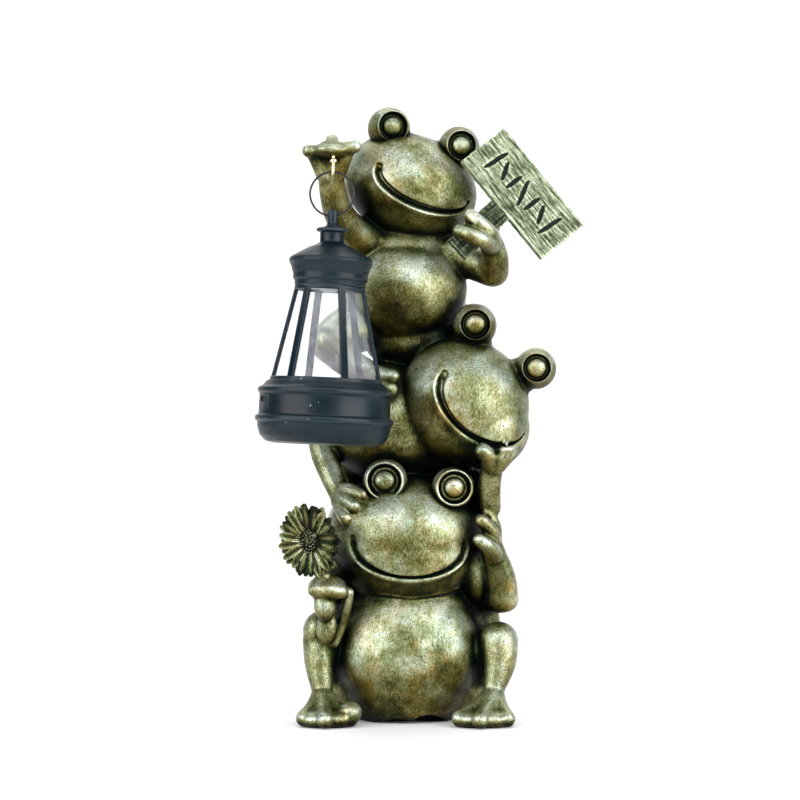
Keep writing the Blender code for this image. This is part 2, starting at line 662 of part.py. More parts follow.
def make_sign(finish):
    bm = bmesh.new()
    size = Matrix.Diagonal((SIGN_LENGTH, SIGN_WIDTH, SIGN_THICKNESS, 1.0))
    bmesh.ops.create_cube(bm, size=1.0, matrix=sign_matrix() @ size)
    sign = mesh_object("welcome_sign", bm, finish)
    size = (POST_WIDTH, POST_LENGTH, POST_THICKNESS)
    cut(sign, box_cutter("sign_post", size, sign_matrix() @ post_matrix()), "UNION")
    soften = sign.modifiers.new("worn_edges", "BEVEL")
    soften.width = SIGN_BEVEL * MM
    soften.segments = 1
    soften.limit_method = "ANGLE"
    strokes = bmesh.new()
    pitch = SIGN_LENGTH / (STROKE_COUNT + 2)
    for k in range(STROKE_COUNT):
        along = (k - (STROKE_COUNT - 1) / 2) * pitch
        lean = 18.0 if k % 2 else -14.0
        height = SIGN_WIDTH * (0.52 if k % 3 == 0 else 0.36)
        place = Matrix.Translation((along, 0.0, SIGN_THICKNESS / 2))
        place = place @ Matrix.Rotation(math.radians(lean), 4, "Z")
        size = Matrix.Diagonal((STROKE_WIDTH, height, 2 * STROKE_DEPTH, 1.0))
        bmesh.ops.create_cube(strokes, size=1.0, matrix=sign_matrix() @ place @ size)
    cut(sign, mesh_object("stroke_row", strokes))
    return sign


# The lantern

def turned(name, profile, sides, finish=None, closed=False):
    """A body turned about Z from points of radius and height."""
    bm = bmesh.new()
    corners = [bm.verts.new((radius, 0.0, height)) for radius, height in profile]
    edges = [bm.edges.new(pair) for pair in zip(corners, corners[1:])]
    if closed:
        edges.append(bm.edges.new((corners[-1], corners[0])))
    bmesh.ops.spin(
        bm, geom=corners + edges, cent=(0, 0, 0), axis=(0, 0, 1), angle=2 * math.pi, steps=sides,
        use_merge=True
    )
    bmesh.ops.remove_doubles(bm, verts=bm.verts, dist=0.001)
    made = mesh_object(name, bm, finish)
    shade_round(made)
    return made


def pane_radius(height):
    """Outer radius of the cage at a height up the lantern."""
    t = (height - PANE_FOOT_HEIGHT) / (PANE_TOP_HEIGHT - PANE_FOOT_HEIGHT)
    return PANE_FOOT_RADIUS + (PANE_TOP_RADIUS - PANE_FOOT_RADIUS) * t


def make_base(finish):
    profile = (
        (0.0, 0.0), (30.0, 0.0), (35.5, 1.2), (39.2, 5.0), (40.6, 10.0), (41.0, 13.2),
        (42.5, 13.9), (42.5, 16.6), (40.2, 17.4), (40.0, 30.0), (41.3, 31.2), (41.3, 33.6),
        (38.3, 35.0), (36.0, 37.9), (35.6, PANE_FOOT_HEIGHT - GAP), (0.0, PANE_FOOT_HEIGHT - GAP),
    )
    base = turned("lantern_base", profile, LANTERN_SIDES, finish)
    place = Matrix.Rotation(math.radians(SWITCH_BEARING), 4, "Z") @ Matrix.Translation((41.0, 0.0, 26.5))
    slot = box_cutter("switch_slot", SWITCH_SLOT, place)
    cut(base, slot)
    return base


def make_cap(finish):
    profile = (
        (0.0, PANE_TOP_HEIGHT + 3.0), (17.0, PANE_TOP_HEIGHT + 3.0), (18.0, PANE_TOP_HEIGHT + GAP),
        (21.6, PANE_TOP_HEIGHT + GAP), (21.8, 99.8), (22.8, 100.6), (22.9, 104.2), (24.2, 108.4),
        (25.7, 111.8), (25.2, 113.6), (14.0, 120.3), (7.4, 123.2), (7.4, 129.6),
        (9.8, 130.2), (9.8, 131.9), (4.6, 133.2), (STUB_RADIUS, 135.0), (STUB_RADIUS, STUB_TOP - 1.0),
        (2.4, STUB_TOP),
        (0.0, STUB_TOP),
    )
    cap = turned("lantern_cap", profile, CAP_SIDES, finish)
    hole = bmesh.new()
    turn = Matrix.Rotation(math.radians(90.0), 4, "Y")
    place = Matrix.Translation((0.0, 0.0, ring_hole_height())) @ turn
    rod(hole, STUB_HOLE_RADIUS, 6 * STUB_RADIUS, place)
    cut(cap, mesh_object("ring_hole", hole))
    return cap


def ring_hole_height():
    """Where the ring's lowest wire crosses the lantern's axis, with the wire at the top of the hole."""
    wire = RING_CENTRE[2] - RING_RADIUS - LANTERN_FOOT[2]
    return wire / math.cos(math.radians(LANTERN_LEAN)) - RING_SLACK


def make_cage(finish):
    """Six flat posts that lean in with the panes, between a low ring and a high one."""
    foot = PANE_FOOT_HEIGHT
    top = PANE_TOP_HEIGHT
    low_top = foot + CAGE_RING_HEIGHT
    high_foot = top - CAGE_RING_HEIGHT
    low = (
        (pane_radius(foot) - 2.0, foot), (pane_radius(foot), foot),
        (pane_radius(foot) - 0.4, low_top), (pane_radius(foot) - 2.4, low_top),
    )
    high = (
        (pane_radius(top) - 1.6, high_foot), (pane_radius(top) + 0.4, high_foot),
        (pane_radius(top) + 0.2, top), (pane_radius(top) - 2.0, top),
    )
    cage = turned("lantern_cage", low, LANTERN_SIDES, finish, closed=True)
    cut(cage, turned("upper_cage_ring", high, LANTERN_SIDES, closed=True), "UNION")
    lean = math.atan2(PANE_FOOT_RADIUS - PANE_TOP_RADIUS, top - foot)
    length = (top - foot - 1.0) / math.cos(lean)
    middle = (pane_radius(foot) + pane_radius(top)) / 2 - POST_BAR_DEPTH / 2
    stand = Matrix.Translation((middle, 0.0, (top + foot) / 2)) @ Matrix.Rotation(-lean, 4, "Y")
    for k in range(CAGE_POSTS):
        turn = Matrix.Rotation(math.radians(CAGE_FIRST_POST + 360.0 / CAGE_POSTS * k), 4, "Z")
        place = turn @ stand
        post = box_cutter("cage_post_%d" % (k + 1), (POST_BAR_DEPTH, POST_BAR_WIDTH, length), place)
        cut(cage, post, "UNION")
    return cage


def make_liner(finish):
    """A clear cone inside the posts, open at both ends."""
    foot = PANE_FOOT_HEIGHT + GAP
    top = PANE_TOP_HEIGHT - GAP
    outer = (pane_radius(foot) - LINER_INSET - GAP, pane_radius(top) - LINER_INSET - GAP)
    profile = (
        (outer[0] - LINER_WALL, foot), (outer[0], foot), (outer[1], top), (outer[1] - LINER_WALL, top),
    )
    return turned("lantern_panes", profile, LANTERN_SIDES, finish, closed=True)


def make_lens(finish):
    top = PANE_TOP_HEIGHT + 3.0 - GAP
    profile = (
        (0.0, top - LENS_HEIGHT), (4.0, top - LENS_HEIGHT + 0.4), (7.2, top - LENS_HEIGHT + 2.0),
        (LENS_RADIUS, top - LENS_HEIGHT + 4.4), (LENS_RADIUS, top), (0.0, top),
    )
    return turned("lantern_lens", profile, LENS_SIDES, finish)


def make_ring(finish):
    profile = []
    for k in range(6):
        angle = 2 * math.pi * k / 6
        profile.append((RING_RADIUS + RING_WIRE * math.cos(angle), RING_WIRE * math.sin(angle)))
    ring = turned("hanging_ring", profile, LANTERN_SIDES, finish, closed=True)
    ring.location = Vector(RING_CENTRE) * MM
    ring.rotation_euler = (math.radians(90.0), 0.0, 0.0)
    return ring


# The hook

def hook_shank_y():
    return RING_CENTRE[1] + HOOK_BEND


def make_hook(finish):
    """A wire hook: a shank let into the hand, bent forward and up under the ring."""
    bend_z = RING_CENTRE[2] + RING_RADIUS - RING_WIRE - GAP - HOOK_WIRE + HOOK_BEND
    route = [(HOOK_TOP - GAP, hook_shank_y()), (bend_z + 3.0, hook_shank_y())]
    for k in range(9):
        angle = math.pi * k / 8
        route.append((bend_z - HOOK_BEND * math.sin(angle), RING_CENTRE[1] + HOOK_BEND * math.cos(angle)))
    route.append((bend_z + 2.5, RING_CENTRE[1] - HOOK_BEND))
    curve = bpy.data.curves.new("hook_wire", "CURVE")
    curve.dimensions = "3D"
    curve.bevel_depth = HOOK_WIRE * MM
    curve.bevel_resolution = 1
    curve.use_fill_caps = True
    spline = curve.splines.new("POLY")
    spline.points.add(len(route) - 1)
    for point, (z, y) in zip(spline.points, route):
        point.co = (HOOK_X * MM, y * MM, z * MM, 1.0)
    wire = bpy.data.objects.new("hook_wire", curve)
    bpy.context.scene.collection.objects.link(wire)
    mesh = evaluated_mesh(wire)
    bpy.data.objects.remove(wire, do_unlink=True)
    bm = bmesh.new()
    bm.from_mesh(mesh)
    bmesh.ops.remove_doubles(bm, verts=bm.verts, dist=1e-6)
    bm.transform(Matrix.Scale(1 / MM, 4))
    hook = mesh_object("lantern_hook", bm, finish)
    collar = bmesh.new()
    middle = HOOK_COLLAR_BOTTOM + HOOK_COLLAR_HEIGHT / 2
    place = Matrix.Translation((HOOK_X, hook_shank_y(), middle))
    rod(collar, HOOK_COLLAR_RADIUS, HOOK_COLLAR_HEIGHT, place)
    cut(hook, mesh_object("hook_collar", collar), "UNION")
    return hook


def make_lantern():
    slate = material("dark_slate_plastic", (0.018, 0.026, 0.032), 0.45, 0.0)
    clear = material("clear_plastic", (0.85, 0.88, 0.92), 0.08, 0.0, 0.3)
    hanger = bpy.data.objects.new("lantern_axis", None)
    bpy.context.scene.collection.objects.link(hanger)
    hanger.location = Vector(LANTERN_FOOT) * MM
    hanger.rotation_euler = (0.0, math.radians(LANTERN_LEAN), 0.0)
    for maker in (make_base, make_cap, make_cage):
        maker(slate)
    for maker in (make_liner, make_lens):
        maker(clear)
    for made in bpy.data.objects:
        if made.name.startswith(("lantern_", "switch_slot", "ring_hole", "upper_cage", "cage_post")):
            if made is not hanger:
                made.parent = hanger
    make_ring(material("black_wire", (0.01, 0.011, 0.013), 0.35, 1.0))


def main():
    clear_scene()
    gold = material("antique_gold_paint", (0.23, 0.21, 0.10), 0.42, 0.7)
    make_casting(gold)
    make_sign(material("painted_plank", (0.42, 0.43, 0.30), 0.6, 0.2))
    make_lantern()
    make_hook(material("gold_wire", (0.8, 0.62, 0.28), 0.25, 1.0))


main()
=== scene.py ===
import math

import bmesh
import bpy
import numpy as np
from mathutils import Euler, Matrix, Vector
from mathutils.bvhtree import BVHTree


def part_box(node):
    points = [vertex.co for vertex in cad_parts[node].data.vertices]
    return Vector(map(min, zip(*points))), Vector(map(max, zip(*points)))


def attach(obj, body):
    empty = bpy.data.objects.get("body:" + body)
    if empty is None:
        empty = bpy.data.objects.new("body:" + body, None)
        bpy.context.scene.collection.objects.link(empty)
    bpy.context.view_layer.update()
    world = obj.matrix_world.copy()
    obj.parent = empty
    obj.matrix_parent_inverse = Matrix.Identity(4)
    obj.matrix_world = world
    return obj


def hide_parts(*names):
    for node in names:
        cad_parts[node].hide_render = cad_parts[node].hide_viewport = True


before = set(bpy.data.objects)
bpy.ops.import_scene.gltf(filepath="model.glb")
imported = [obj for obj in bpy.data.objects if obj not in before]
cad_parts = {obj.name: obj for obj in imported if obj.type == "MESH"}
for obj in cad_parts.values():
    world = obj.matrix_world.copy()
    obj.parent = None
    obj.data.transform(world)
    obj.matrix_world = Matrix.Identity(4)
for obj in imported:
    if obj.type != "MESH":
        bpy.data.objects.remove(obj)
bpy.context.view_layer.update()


# The three frogs. The real piece is one thin casting of resin from a rubber mould. Each frog sits
# on the head of the one below, and the hands, toes and stem are all part of the same skin.
# It is modelled in overlapping lumps, as a sculptor adds clay, then given one skin.
MM = 0.001
CAST_SKIN = 1.15
CAST_SOFTENING = 5
CAST_TRIANGLES = 150000
LIMB_SIDES = 20
LIMB_STEPS = 6
TIP_RINGS = 4

# Sizes are in millimetres and turns in degrees. A head is its centre, half sizes, roll and yaw,
# an eye its x, y, z, radius and yaw, and a lump its centre, half sizes and roll
HEADS = {
    "bottom": ((-2, -7, 118), (51, 43, 39), 4.5, 4),
    "middle": ((36, -13, 202.5), (42.5, 38, 39.5), 36, 14),
    "top": ((1.5, -9, 340), (43.5, 38, 33), 18, 9),
}
EYES = {
    "bottom": ((-14.1, -30, 152.8, 13.8, -4), (28.3, -30, 148.5, 13.3, 6)),
    "middle": ((42.2, -22, 250.8, 13.9, 0), (80.6, -22, 223.6, 13.2, 1)),
    "top": ((-12, -22, 375.1, 13.6, 16), (32.2, -20, 363.5, 13.2, 10)),
}
BODIES = [
    ((-14, -4, 44), (33, 36, 42), 0), ((13, -4, 44), (33, 36, 42), 0),
    ((-1, 0, 30), (42, 42, 43), 0), ((-1, 0, 40), (45.3, 44, 46), 0),
    ((-1, 1, 46), (45.4, 43.5, 53), 0), ((-1, 3, 62), (43.5, 39, 38), 0),
    ((-36, -44, 9), (7.5, 8, 7), 0), ((-1, 8, 20), (54, 30, 34), 0),
    ((-2, -9, 108), (46, 40.5, 35.5), 4.5),
    ((-52, -41, 76), (7, 7, 10.5), 0), ((-55, -22, 58), (11.5, 11, 12.5), 0),
    ((-51, -37, 61), (6.5, 4, 11.5), 5), ((42.5, -53, 308.5), (10, 3.4, 7), 38),
    ((2, 14, 58), (58, 26, 50), 0), ((44, -4, 100), (13, 22, 26), 0),
    ((-40, -2, 96), (13, 22, 20), 0), ((-50.5, -38, 86.5), (12.3, 11, 8), 0),
    ((50, -38, 4.5), (17, 15, 6.5), 0), ((-50, -38, 4.5), (17, 15, 6.5), 0),
    ((-12, 3, 190), (45, 36, 39), 10), ((20, 8, 186), (34, 30, 34), 0),
    ((49.8, -14, 186.5), (27.6, 31, 27), 0),
    ((-2, 0, 275), (40, 37, 34.5), 0), ((-1, 4, 296), (34, 30, 26), 0),
    ((4, 10, 246), (34, 28, 24), 0), ((-47.5, -61, 355.8), (12.5, 11.5, 5), 0),
    ((47.5, -40, 309), (9.5, 6.5, 10), -30), ((-47, -55, 358), (9.5, 6, 5.5), 0),
]
# Arms, fingers, thighs and shins, each through stations of x, y, z and radius
BOTTOM_ARMS = [
    [(40, 6, 84, 11), (56, -6, 78, 10), (61.5, -20, 78, 8.8)],
    [(61, -20, 79, 9.2), (59, -24, 92, 9), (55, -28, 105, 7.6), (51.5, -31, 115, 7)],
    [(53, -31, 111, 6), (52, -36, 121, 5), (46, -40, 128, 4.4)],
    [(54, -33, 106, 6), (50, -41, 112, 5), (44.5, -44, 116, 4.4)],
    [(54, -27, 112, 5.4), (54.5, -28, 124, 4.4), (50, -30, 132, 3.9)],
    [(-40, 4, 84, 11), (-52, -12, 84, 10), (-51, -30, 85, 8)],
    [(-58, -42, 85, 4.8), (-50.5, -46, 85, 5.2), (-42, -43.5, 84, 4.8)],
]
MIDDLE_LIMBS = [
    [(-44, -2, 206, 11), (-54, -5, 190, 9.5), (-54, -8, 172, 8.8), (-48, -16, 155, 7.6),
     (-42.5, -22, 143, 6.8)],
    [(-44, -21, 146, 6), (-36.5, -29, 146.5, 5), (-29, -34, 144, 4.2)],
    [(-43.5, -23, 143, 5.8), (-38.5, -32, 140.5, 4.9), (-33.5, -38, 137, 4.2)],
    [(-43.5, -23, 140, 5.6), (-41.5, -31, 134, 4.8), (-39.5, -37, 129.5, 4.2)],
    [(44, 0, 150, 9), (50, -18, 138, 8), (51.5, -26, 137, 7)],
    [(51.5, -26, 136, 7.2), (51, -30, 148, 7.4), (52.5, -33, 160, 7), (55, -35, 168, 7)],
    [(53, -37, 162, 6), (50, -43, 168, 5.2), (46, -46, 171.5, 4.6)],
    [(56, -38, 163, 6), (60, -42, 168, 5.2), (61.5, -43.5, 172, 4.6)],
    [(57, -33, 164, 6), (62, -33, 168, 5.0), (65, -32, 170, 4.2)],
    [(24, 18, 176, 19), (38, 27, 160, 15), (37, 25, 144, 12)],
    [(37, 25, 146, 10.5), (38, 24, 128, 8.5), (40, 18, 116, 6.5)],
    [(-24, 18, 176, 19), (-38, 27, 160, 15), (-37, 25, 144, 12)],
    [(-37, 25, 146, 10.5), (-38, 24, 128, 8.5), (-40, 18, 116, 6.5)],
]
TOP_LIMBS = [
    [(-22, -8, 303, 13), (-36, -24, 311, 11), (-43.5, -38, 321, 9.6), (-47, -48, 335, 8.4),
     (-48, -54.5, 348, 7.6)],
    [(-50, -61, 355, 4.6), (-57, -62, 355, 4.3), (-61, -63, 355.5, 4.2)],
    [(-45, -62, 356, 4.6), (-38, -64, 357, 4.3), (-32.5, -65, 358, 4.2)],
    [(-47.5, -57, 355, 5), (-47, -52, 359, 5), (-47, -50, 363.5, 4.4)],
    [(-57, -60, 353, 4.8), (-51, -55, 342, 6)],
    [(-37.5, -61, 354.5, 4.6), (-44, -54, 343, 6)],
    [(26, -6, 298, 13), (42, -12, 291, 11), (53.5, -20, 285, 10)],
    [(54, -21, 285, 10), (54.5, -30, 294, 8.6), (51, -37, 305, 7.2)],
    [(53, -42, 303, 5.5), (50, -53, 307, 5), (44, -57, 312, 4.8), (38.5, -55, 317, 4.2)],
    [(52, -42, 299, 5.5), (47, -56, 301, 5), (39, -60, 304, 4.8), (31.5, -58, 307, 4.2)],
    [(52, -38, 309, 5), (55, -40, 317, 4.2), (55, -40, 322, 3.8)],
    [(-20, 6, 256, 18), (-38, -8, 248, 16), (-48, -18, 241, 14)],
    [(-48, -18, 240, 14), (-38, -24, 228, 10), (-25, -27, 221, 8)],
    [(-25, -27, 221, 7), (-16, -33, 219, 5.4), (-9.5, -36, 218, 4.6)],
    [(-24, -27, 219, 6.5), (-16, -33, 214, 5), (-10, -35, 209.5, 4.4)],
    [(-24, -26, 219, 6.5), (-19, -30, 210, 5), (-16, -32, 203, 4.4)],
    [(24, 14, 256, 18), (38, 22, 244, 15), (44, 22, 230, 13)],
    [(44, 22, 232, 11), (48, 20, 214, 9), (48, 16, 200, 7)],
]
STEM = [
    [(-57.7, -44, 115, 7), (-57, -40, 104, 6)],
    [(-58, -42, 106, 6), (-54, -42, 97, 5), (-51, -42, 86, 3.6), (-51, -42, 72, 3.4)],
    [(-37, -36, 83, 3.6), (-39, -34, 72, 3.6), (-42, -31, 61, 3.6), (-46, -31, 51, 3.2)],
]
# Side, then how far out the knee is and its radius, the same of the calf, and the tips of the toes
LEGS = (
    (1, (57.4, 12.8, 57.8, 10.6), ((32, -46), (44.5, -55), (61.5, -47))),
    (-1, (54.6, 12.4, 56.0, 9.6), ((-64.5, -45), (-51, -54.5), (-36, -46))),
)
ANKLE_OUT = 54
ANKLE_FRONT = -30
ANKLE_RADIUS = 7
TOE_RADIUS = 5.4


def lump(bm, centre, radii, roll=0.0, yaw=0.0):
    """A ball of clay, turned clockwise by roll as seen from the front."""
    turn = Euler((0.0, math.radians(roll), math.radians(yaw)), "XYZ")
    place = Matrix.LocRotScale(Vector(centre), turn, Vector(radii))
    bmesh.ops.create_icosphere(bm, subdivisions=5, radius=1.0, matrix=place)


def smooth_path(stations, steps):
    """Points of a smooth curve through the stations."""
    given = np.array(stations, float)
    padded = np.vstack([2 * given[0] - given[1], given, 2 * given[-1] - given[-2]])
    path = []
    for a, b, c, d in zip(padded, padded[1:], padded[2:], padded[3:]):
        for t in np.arange(steps) / steps:
            path.append(0.5 * (2 * b + (c - a) * t + (2 * a - 5 * b + 4 * c - d) * t**2
                               + (3 * b - a - 3 * c + d) * t**3))
    path.append(given[-1])
    return np.array(path)


def limb(bm, stations, sides=LIMB_SIDES, steps=LIMB_STEPS, tip_rings=TIP_RINGS):
    """A round roll of clay with rounded ends through stations of x, y, z and radius."""
    path = smooth_path(stations, steps)
    rings, tips = [list(path)], []
    for end, inner in ((path[0], path[1]), (path[-1], path[-2])):
        way = (end - inner)[:3] / np.linalg.norm((end - inner)[:3])
        cap = []
        for k in range(1, tip_rings + 1):
            angle = math.pi / 2 * k / (tip_rings + 1)
            centre = end[:3] + way * end[3] * math.sin(angle)
            cap.append(np.append(centre, end[3] * math.cos(angle)))
        rings.append(cap)
        tips.append(end[:3] + way * end[3])
    path = np.array(rings[1][::-1] + rings[0] + rings[2])
    # Any direction along which no limb starts
    side = Vector((0.31, 0.83, 0.46))
    loops = []
    for k, station in enumerate(path):
        ahead = path[min(k + 1, len(path) - 1)][:3] - path[max(k - 1, 0)][:3]
        tangent = Vector(ahead).normalized()
        side = (side - tangent * side.dot(tangent)).normalized()
        other = tangent.cross(side)
        loop = []
        for angle in np.arange(sides) * 2 * math.pi / sides:
            spoke = side * math.cos(angle) + other * math.sin(angle)
            loop.append(bm.verts.new(Vector(station[:3]) + spoke * station[3]))
        loops.append(loop)
    bridge(bm, loops)
    for loop, tip in ((loops[0], tips[0]), (loops[-1], tips[1])):
        close_end(bm, loop, tip)


def bridge(bm, loops):
    """Faces between each loop of vertices and the next."""
    for low, high in zip(loops, loops[1:]):
        for j in range(len(low)):
            after = (j + 1) % len(low)
            bm.faces.new((low[j], low[after], high[after], high[j]))


def close_end(bm, loop, tip):
    """A fan of faces from a loop to one point."""
    point = bm.verts.new(Vector(tip))
    for j in range(len(loop)):
        bm.faces.new((loop[j], loop[(j + 1) % len(loop)], point))


def finished(name, bm, smooth=True, scale=MM):
    """A new object from the bmesh, turned from millimetres to metres."""
    bmesh.ops.recalc_face_normals(bm, faces=bm.faces)
    bm.transform(Matrix.Scale(scale, 4))
    mesh = bpy.data.meshes.new(name)
    bm.to_mesh(mesh)
    bm.free()
    made = bpy.data.objects.new(name, mesh)
    bpy.context.scene.collection.objects.link(made)
    if smooth:
        mesh.shade_smooth()
    return made


def applied(made):
    """The object with its modifiers worked into its mesh."""
    graph = bpy.context.evaluated_depsgraph_get()
    mesh = bpy.data.meshes.new_from_object(made.evaluated_get(graph))
    made.modifiers.clear()
    made.data = mesh
    return made


clay = bmesh.new()
for centre, radii, roll in BODIES:
    lump(clay, centre, radii, roll)
for name, (centre, radii, roll, yaw) in HEADS.items():
    lump(clay, centre, radii, roll, yaw)
    # A smaller lump joins each eye to its head
    for x, y, z, radius, _ in EYES[name]:
        root = Vector((x, y + 5, z)).lerp(Vector(centre), 0.2)
        lump(clay, root, (0.9 * radius,) * 3)
for stations in BOTTOM_ARMS + MIDDLE_LIMBS + TOP_LIMBS + STEM:
    limb(clay, stations)
for side, (knee, knee_radius, calf, calf_radius), tips in LEGS:
    limb(clay, [(36 * side, 20, 24, 17), (46 * side, 2, 36, 16), (knee * side, -18, 50, knee_radius)])
    limb(clay, [(knee * side, -20, 51, knee_radius), (calf * side, -24, 38, calf_radius),
                (ANKLE_OUT * side, ANKLE_FRONT + 2, 22, ANKLE_RADIUS)])
    for x, y in tips:
        ankle = (ANKLE_OUT * side, ANKLE_FRONT, 18, ANKLE_RADIUS)
        knuckle = (0.45 * ANKLE_OUT * side + 0.55 * x, 0.45 * ANKLE_FRONT + 0.55 * y, 10, TOE_RADIUS)
        limb(clay, [ankle, knuckle, (x, y, TOE_RADIUS, TOE_RADIUS)])
    # Webs between the toes
    for (x, y), (next_x, next_y) in zip(tips, tips[1:]):
        lump(clay, ((x + next_x) / 2, (y + next_y) / 2 + 5, 5), (9, 10, 6))

casting = finished("frog_casting", clay, scale=1.0)
skin = casting.modifiers.new("skin", "REMESH")
skin.mode = "VOXEL"
skin.voxel_size = CAST_SKIN
soften = casting.modifiers.new("soften", "SMOOTH")
soften.factor = 0.5
soften.iterations = CAST_SOFTENING
applied(casting)


def keep_outer_skin(bm):
    """Deletes the small closed bubbles that are left between the lumps."""
    unseen, skins = set(bm.verts), []
    while unseen:
        reached, skin = [unseen.pop()], []
        while reached:
            vert = reached.pop()
            skin.append(vert)
            for edge in vert.link_edges:
                other = edge.other_vert(vert)
                if other in unseen:
                    unseen.remove(other)
                    reached.append(other)
        skins.append(skin)
    skins.sort(key=len)
    for skin in skins[:-1]:
        bmesh.ops.delete(bm, geom=skin, context="VERTS")


# Mouths: x, z, half width, depth and roll of the lower half of an ellipse
MOUTHS = {
    "bottom": (0.6, 114.5, 35.4, 21.6, 3.0),
    "middle": (47.7, 200.6, 31.6, 20.8, 37.0),
    "top": (9.8, 338.3, 30.0, 14.2, 20.5),
}
# The grooves' half widths at the left corner, the middle and the right corner
MOUTH_WIDTHS = {"bottom": (2.0, 0.95, 1.9), "middle": (1.9, 1.35, 0.95), "top": (1.75, 1.55, 1.2)}
# The fold where the belly meets the chin, as x and z seen from the front
CHIN_FOLD = ((-29, 82.9), (-13, 81.9), (-6.8, 80.7), (4.3, 79.5), (17.9, 81.9), (32.1, 85.6))
MOUTH_DEPTH = 3.4
MOUTH_STEPS = 40
# Two shallow arches under the belly's front edge, as x, half width and height
UNDER_ARCHES = ((-5.5, 13.6, 3.4), (12.7, 12.1, 5.9))
ARCH_BACK = -16.0
# How far each lip stands out and how wide it is; the lower one's middle is off the groove
UPPER_LIP = (1.2, 7.0)
LOWER_LIP = (0.8, 3.6, 1.5)
FOLD_HEIGHT = 0.9
FOLD_WIDTH = 1.2

bm = bmesh.new()
bm.from_mesh(casting.data)
keep_outer_skin(bm)
cast_tree = BVHTree.FromBMesh(bm)


def laid_on(places):
    """The line of x and z laid on the casting from the front."""
    starts = [Vector((x, -300.0, z)) for x, z in places]
    return np.array([cast_tree.ray_cast(start, Vector((0.0, 1.0, 0.0)))[0] for start in starts])


def mouth_line(x, z, half_width, depth, roll):
    """The mouth's curve, laid on the face."""
    turn, places = math.radians(roll), []
    for angle in np.arange(MOUTH_STEPS + 1) * math.pi / MOUTH_STEPS:
        across, down = -half_width * math.cos(angle), -depth * math.sin(angle)
        places.append((x + across * math.cos(turn) + down * math.sin(turn),
                       z - across * math.sin(turn) + down * math.cos(turn)))
    return laid_on(places)


def distance_along(points, line):
    """Distance of each point from the line, and how far along it the nearest place is, 0 to 1."""
    nearest = np.full(len(points), np.inf)
    along = np.zeros(len(points))
    for k, (a, b) in enumerate(zip(line, line[1:])):
        way = b - a
        t = np.clip(((points - a) @ way) / (way @ way), 0.0, 1.0)
        distance = np.linalg.norm(points - a - t[:, None] * way, axis=1)
        closer = distance < nearest
        nearest[closer] = distance[closer]
        along[closer] = (k + t[closer]) / (len(line) - 1)
    return nearest, along


lines = {name: mouth_line(*mouth) for name, mouth in MOUTHS.items()}
# Finer faces near the mouths, in two steps
for reach in (6.0, 3.2):
    bm.verts.ensure_lookup_table()
    points = np.array([v.co for v in bm.verts])
    close = np.zeros(len(points), bool)
    for line in lines.values():
        close |= distance_along(points, line)[0] < reach
    near_edges = [e for e in bm.edges if close[e.verts[0].index] and close[e.verts[1].index]]
    bmesh.ops.subdivide_edges(bm, edges=near_edges, cuts=1, use_grid_fill=True, smooth=0.0)
    bm.verts.index_update()
bm.normal_update()
bm.verts.ensure_lookup_table()
points = np.array([v.co for v in bm.verts])
normals = np.array([v.normal for v in bm.verts])
for name, (x, z, half_width, depth, roll) in MOUTHS.items():
    distance, along = distance_along(points, lines[name])
    turn = math.radians(roll)
    across = (points[:, 0] - x) * math.cos(turn) - (points[:, 2] - z) * math.sin(turn)
    up = (points[:, 0] - x) * math.sin(turn) + (points[:, 2] - z) * math.cos(turn)
    inside = (across / half_width) ** 2 + (up / depth) ** 2 < 1.0
    # Towards the corners the lips fade out and the groove gets shallower
    ends = np.minimum(along, 1.0 - along)
    fade = np.clip(9.0 * ends, 0.0, 1.0)
    left, centre, right = MOUTH_WIDTHS[name]
    width = np.interp(along, (0.1, 0.4, 0.6, 0.9), (left, centre, centre, right))
    height, spread = UPPER_LIP
    upper = height * np.exp(-((distance / spread) ** 2))
    height, middle, spread = LOWER_LIP
    lower = height * np.exp(-(((distance - middle) / spread) ** 2))
    groove = MOUTH_DEPTH * np.exp(-((distance / (1.35 * width)) ** 4))
    groove *= np.clip(12.0 * ends + 0.45, 0.0, 1.0)
    points += normals * (np.where(inside, upper, lower) * fade - groove)[:, None]
fold = distance_along(points, laid_on(CHIN_FOLD))[0]
points += normals * (FOLD_HEIGHT * np.exp(-((fold / FOLD_WIDTH) ** 2)))[:, None]
points[:, 2] = np.maximum(points[:, 2], 0.0)
for x, half_width, rise in UNDER_ARCHES:
    radius = (half_width**2 + rise**2) / (2 * rise)
    roof = rise - radius + np.sqrt(np.maximum(radius**2 - (points[:, 0] - x) ** 2, 0.0))
    front = (np.abs(points[:, 0] - x) < half_width) & (points[:, 1] < ARCH_BACK)
    points[:, 2] = np.where(front, np.maximum(points[:, 2], roof), points[:, 2])
low, high = (np.array(corner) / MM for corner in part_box("frog_stack"))
points = np.clip(points, low, high)
for vert, point in zip(bm.verts, points):
    vert.co = point * MM
bmesh.ops.dissolve_degenerate(bm, dist=1e-7, edges=bm.edges)
bm.to_mesh(casting.data)
bm.free()
casting.data.shade_smooth()
triangles = sum(len(face.vertices) - 2 for face in casting.data.polygons)
if triangles > CAST_TRIANGLES:
    thin = casting.modifiers.new("thin", "DECIMATE")
    thin.ratio = CAST_TRIANGLES / triangles
    thin.use_collapse_triangulate = True
    applied(casting)


def set_inputs(tree, made, inputs):
    """Sets a node's inputs, each to a value or to another node's output."""
    for key, value in inputs.items():
        if isinstance(value, bpy.types.NodeSocket):
            tree.links.new(value, made.inputs[key])
        else:
            made.inputs[key].default_value = value


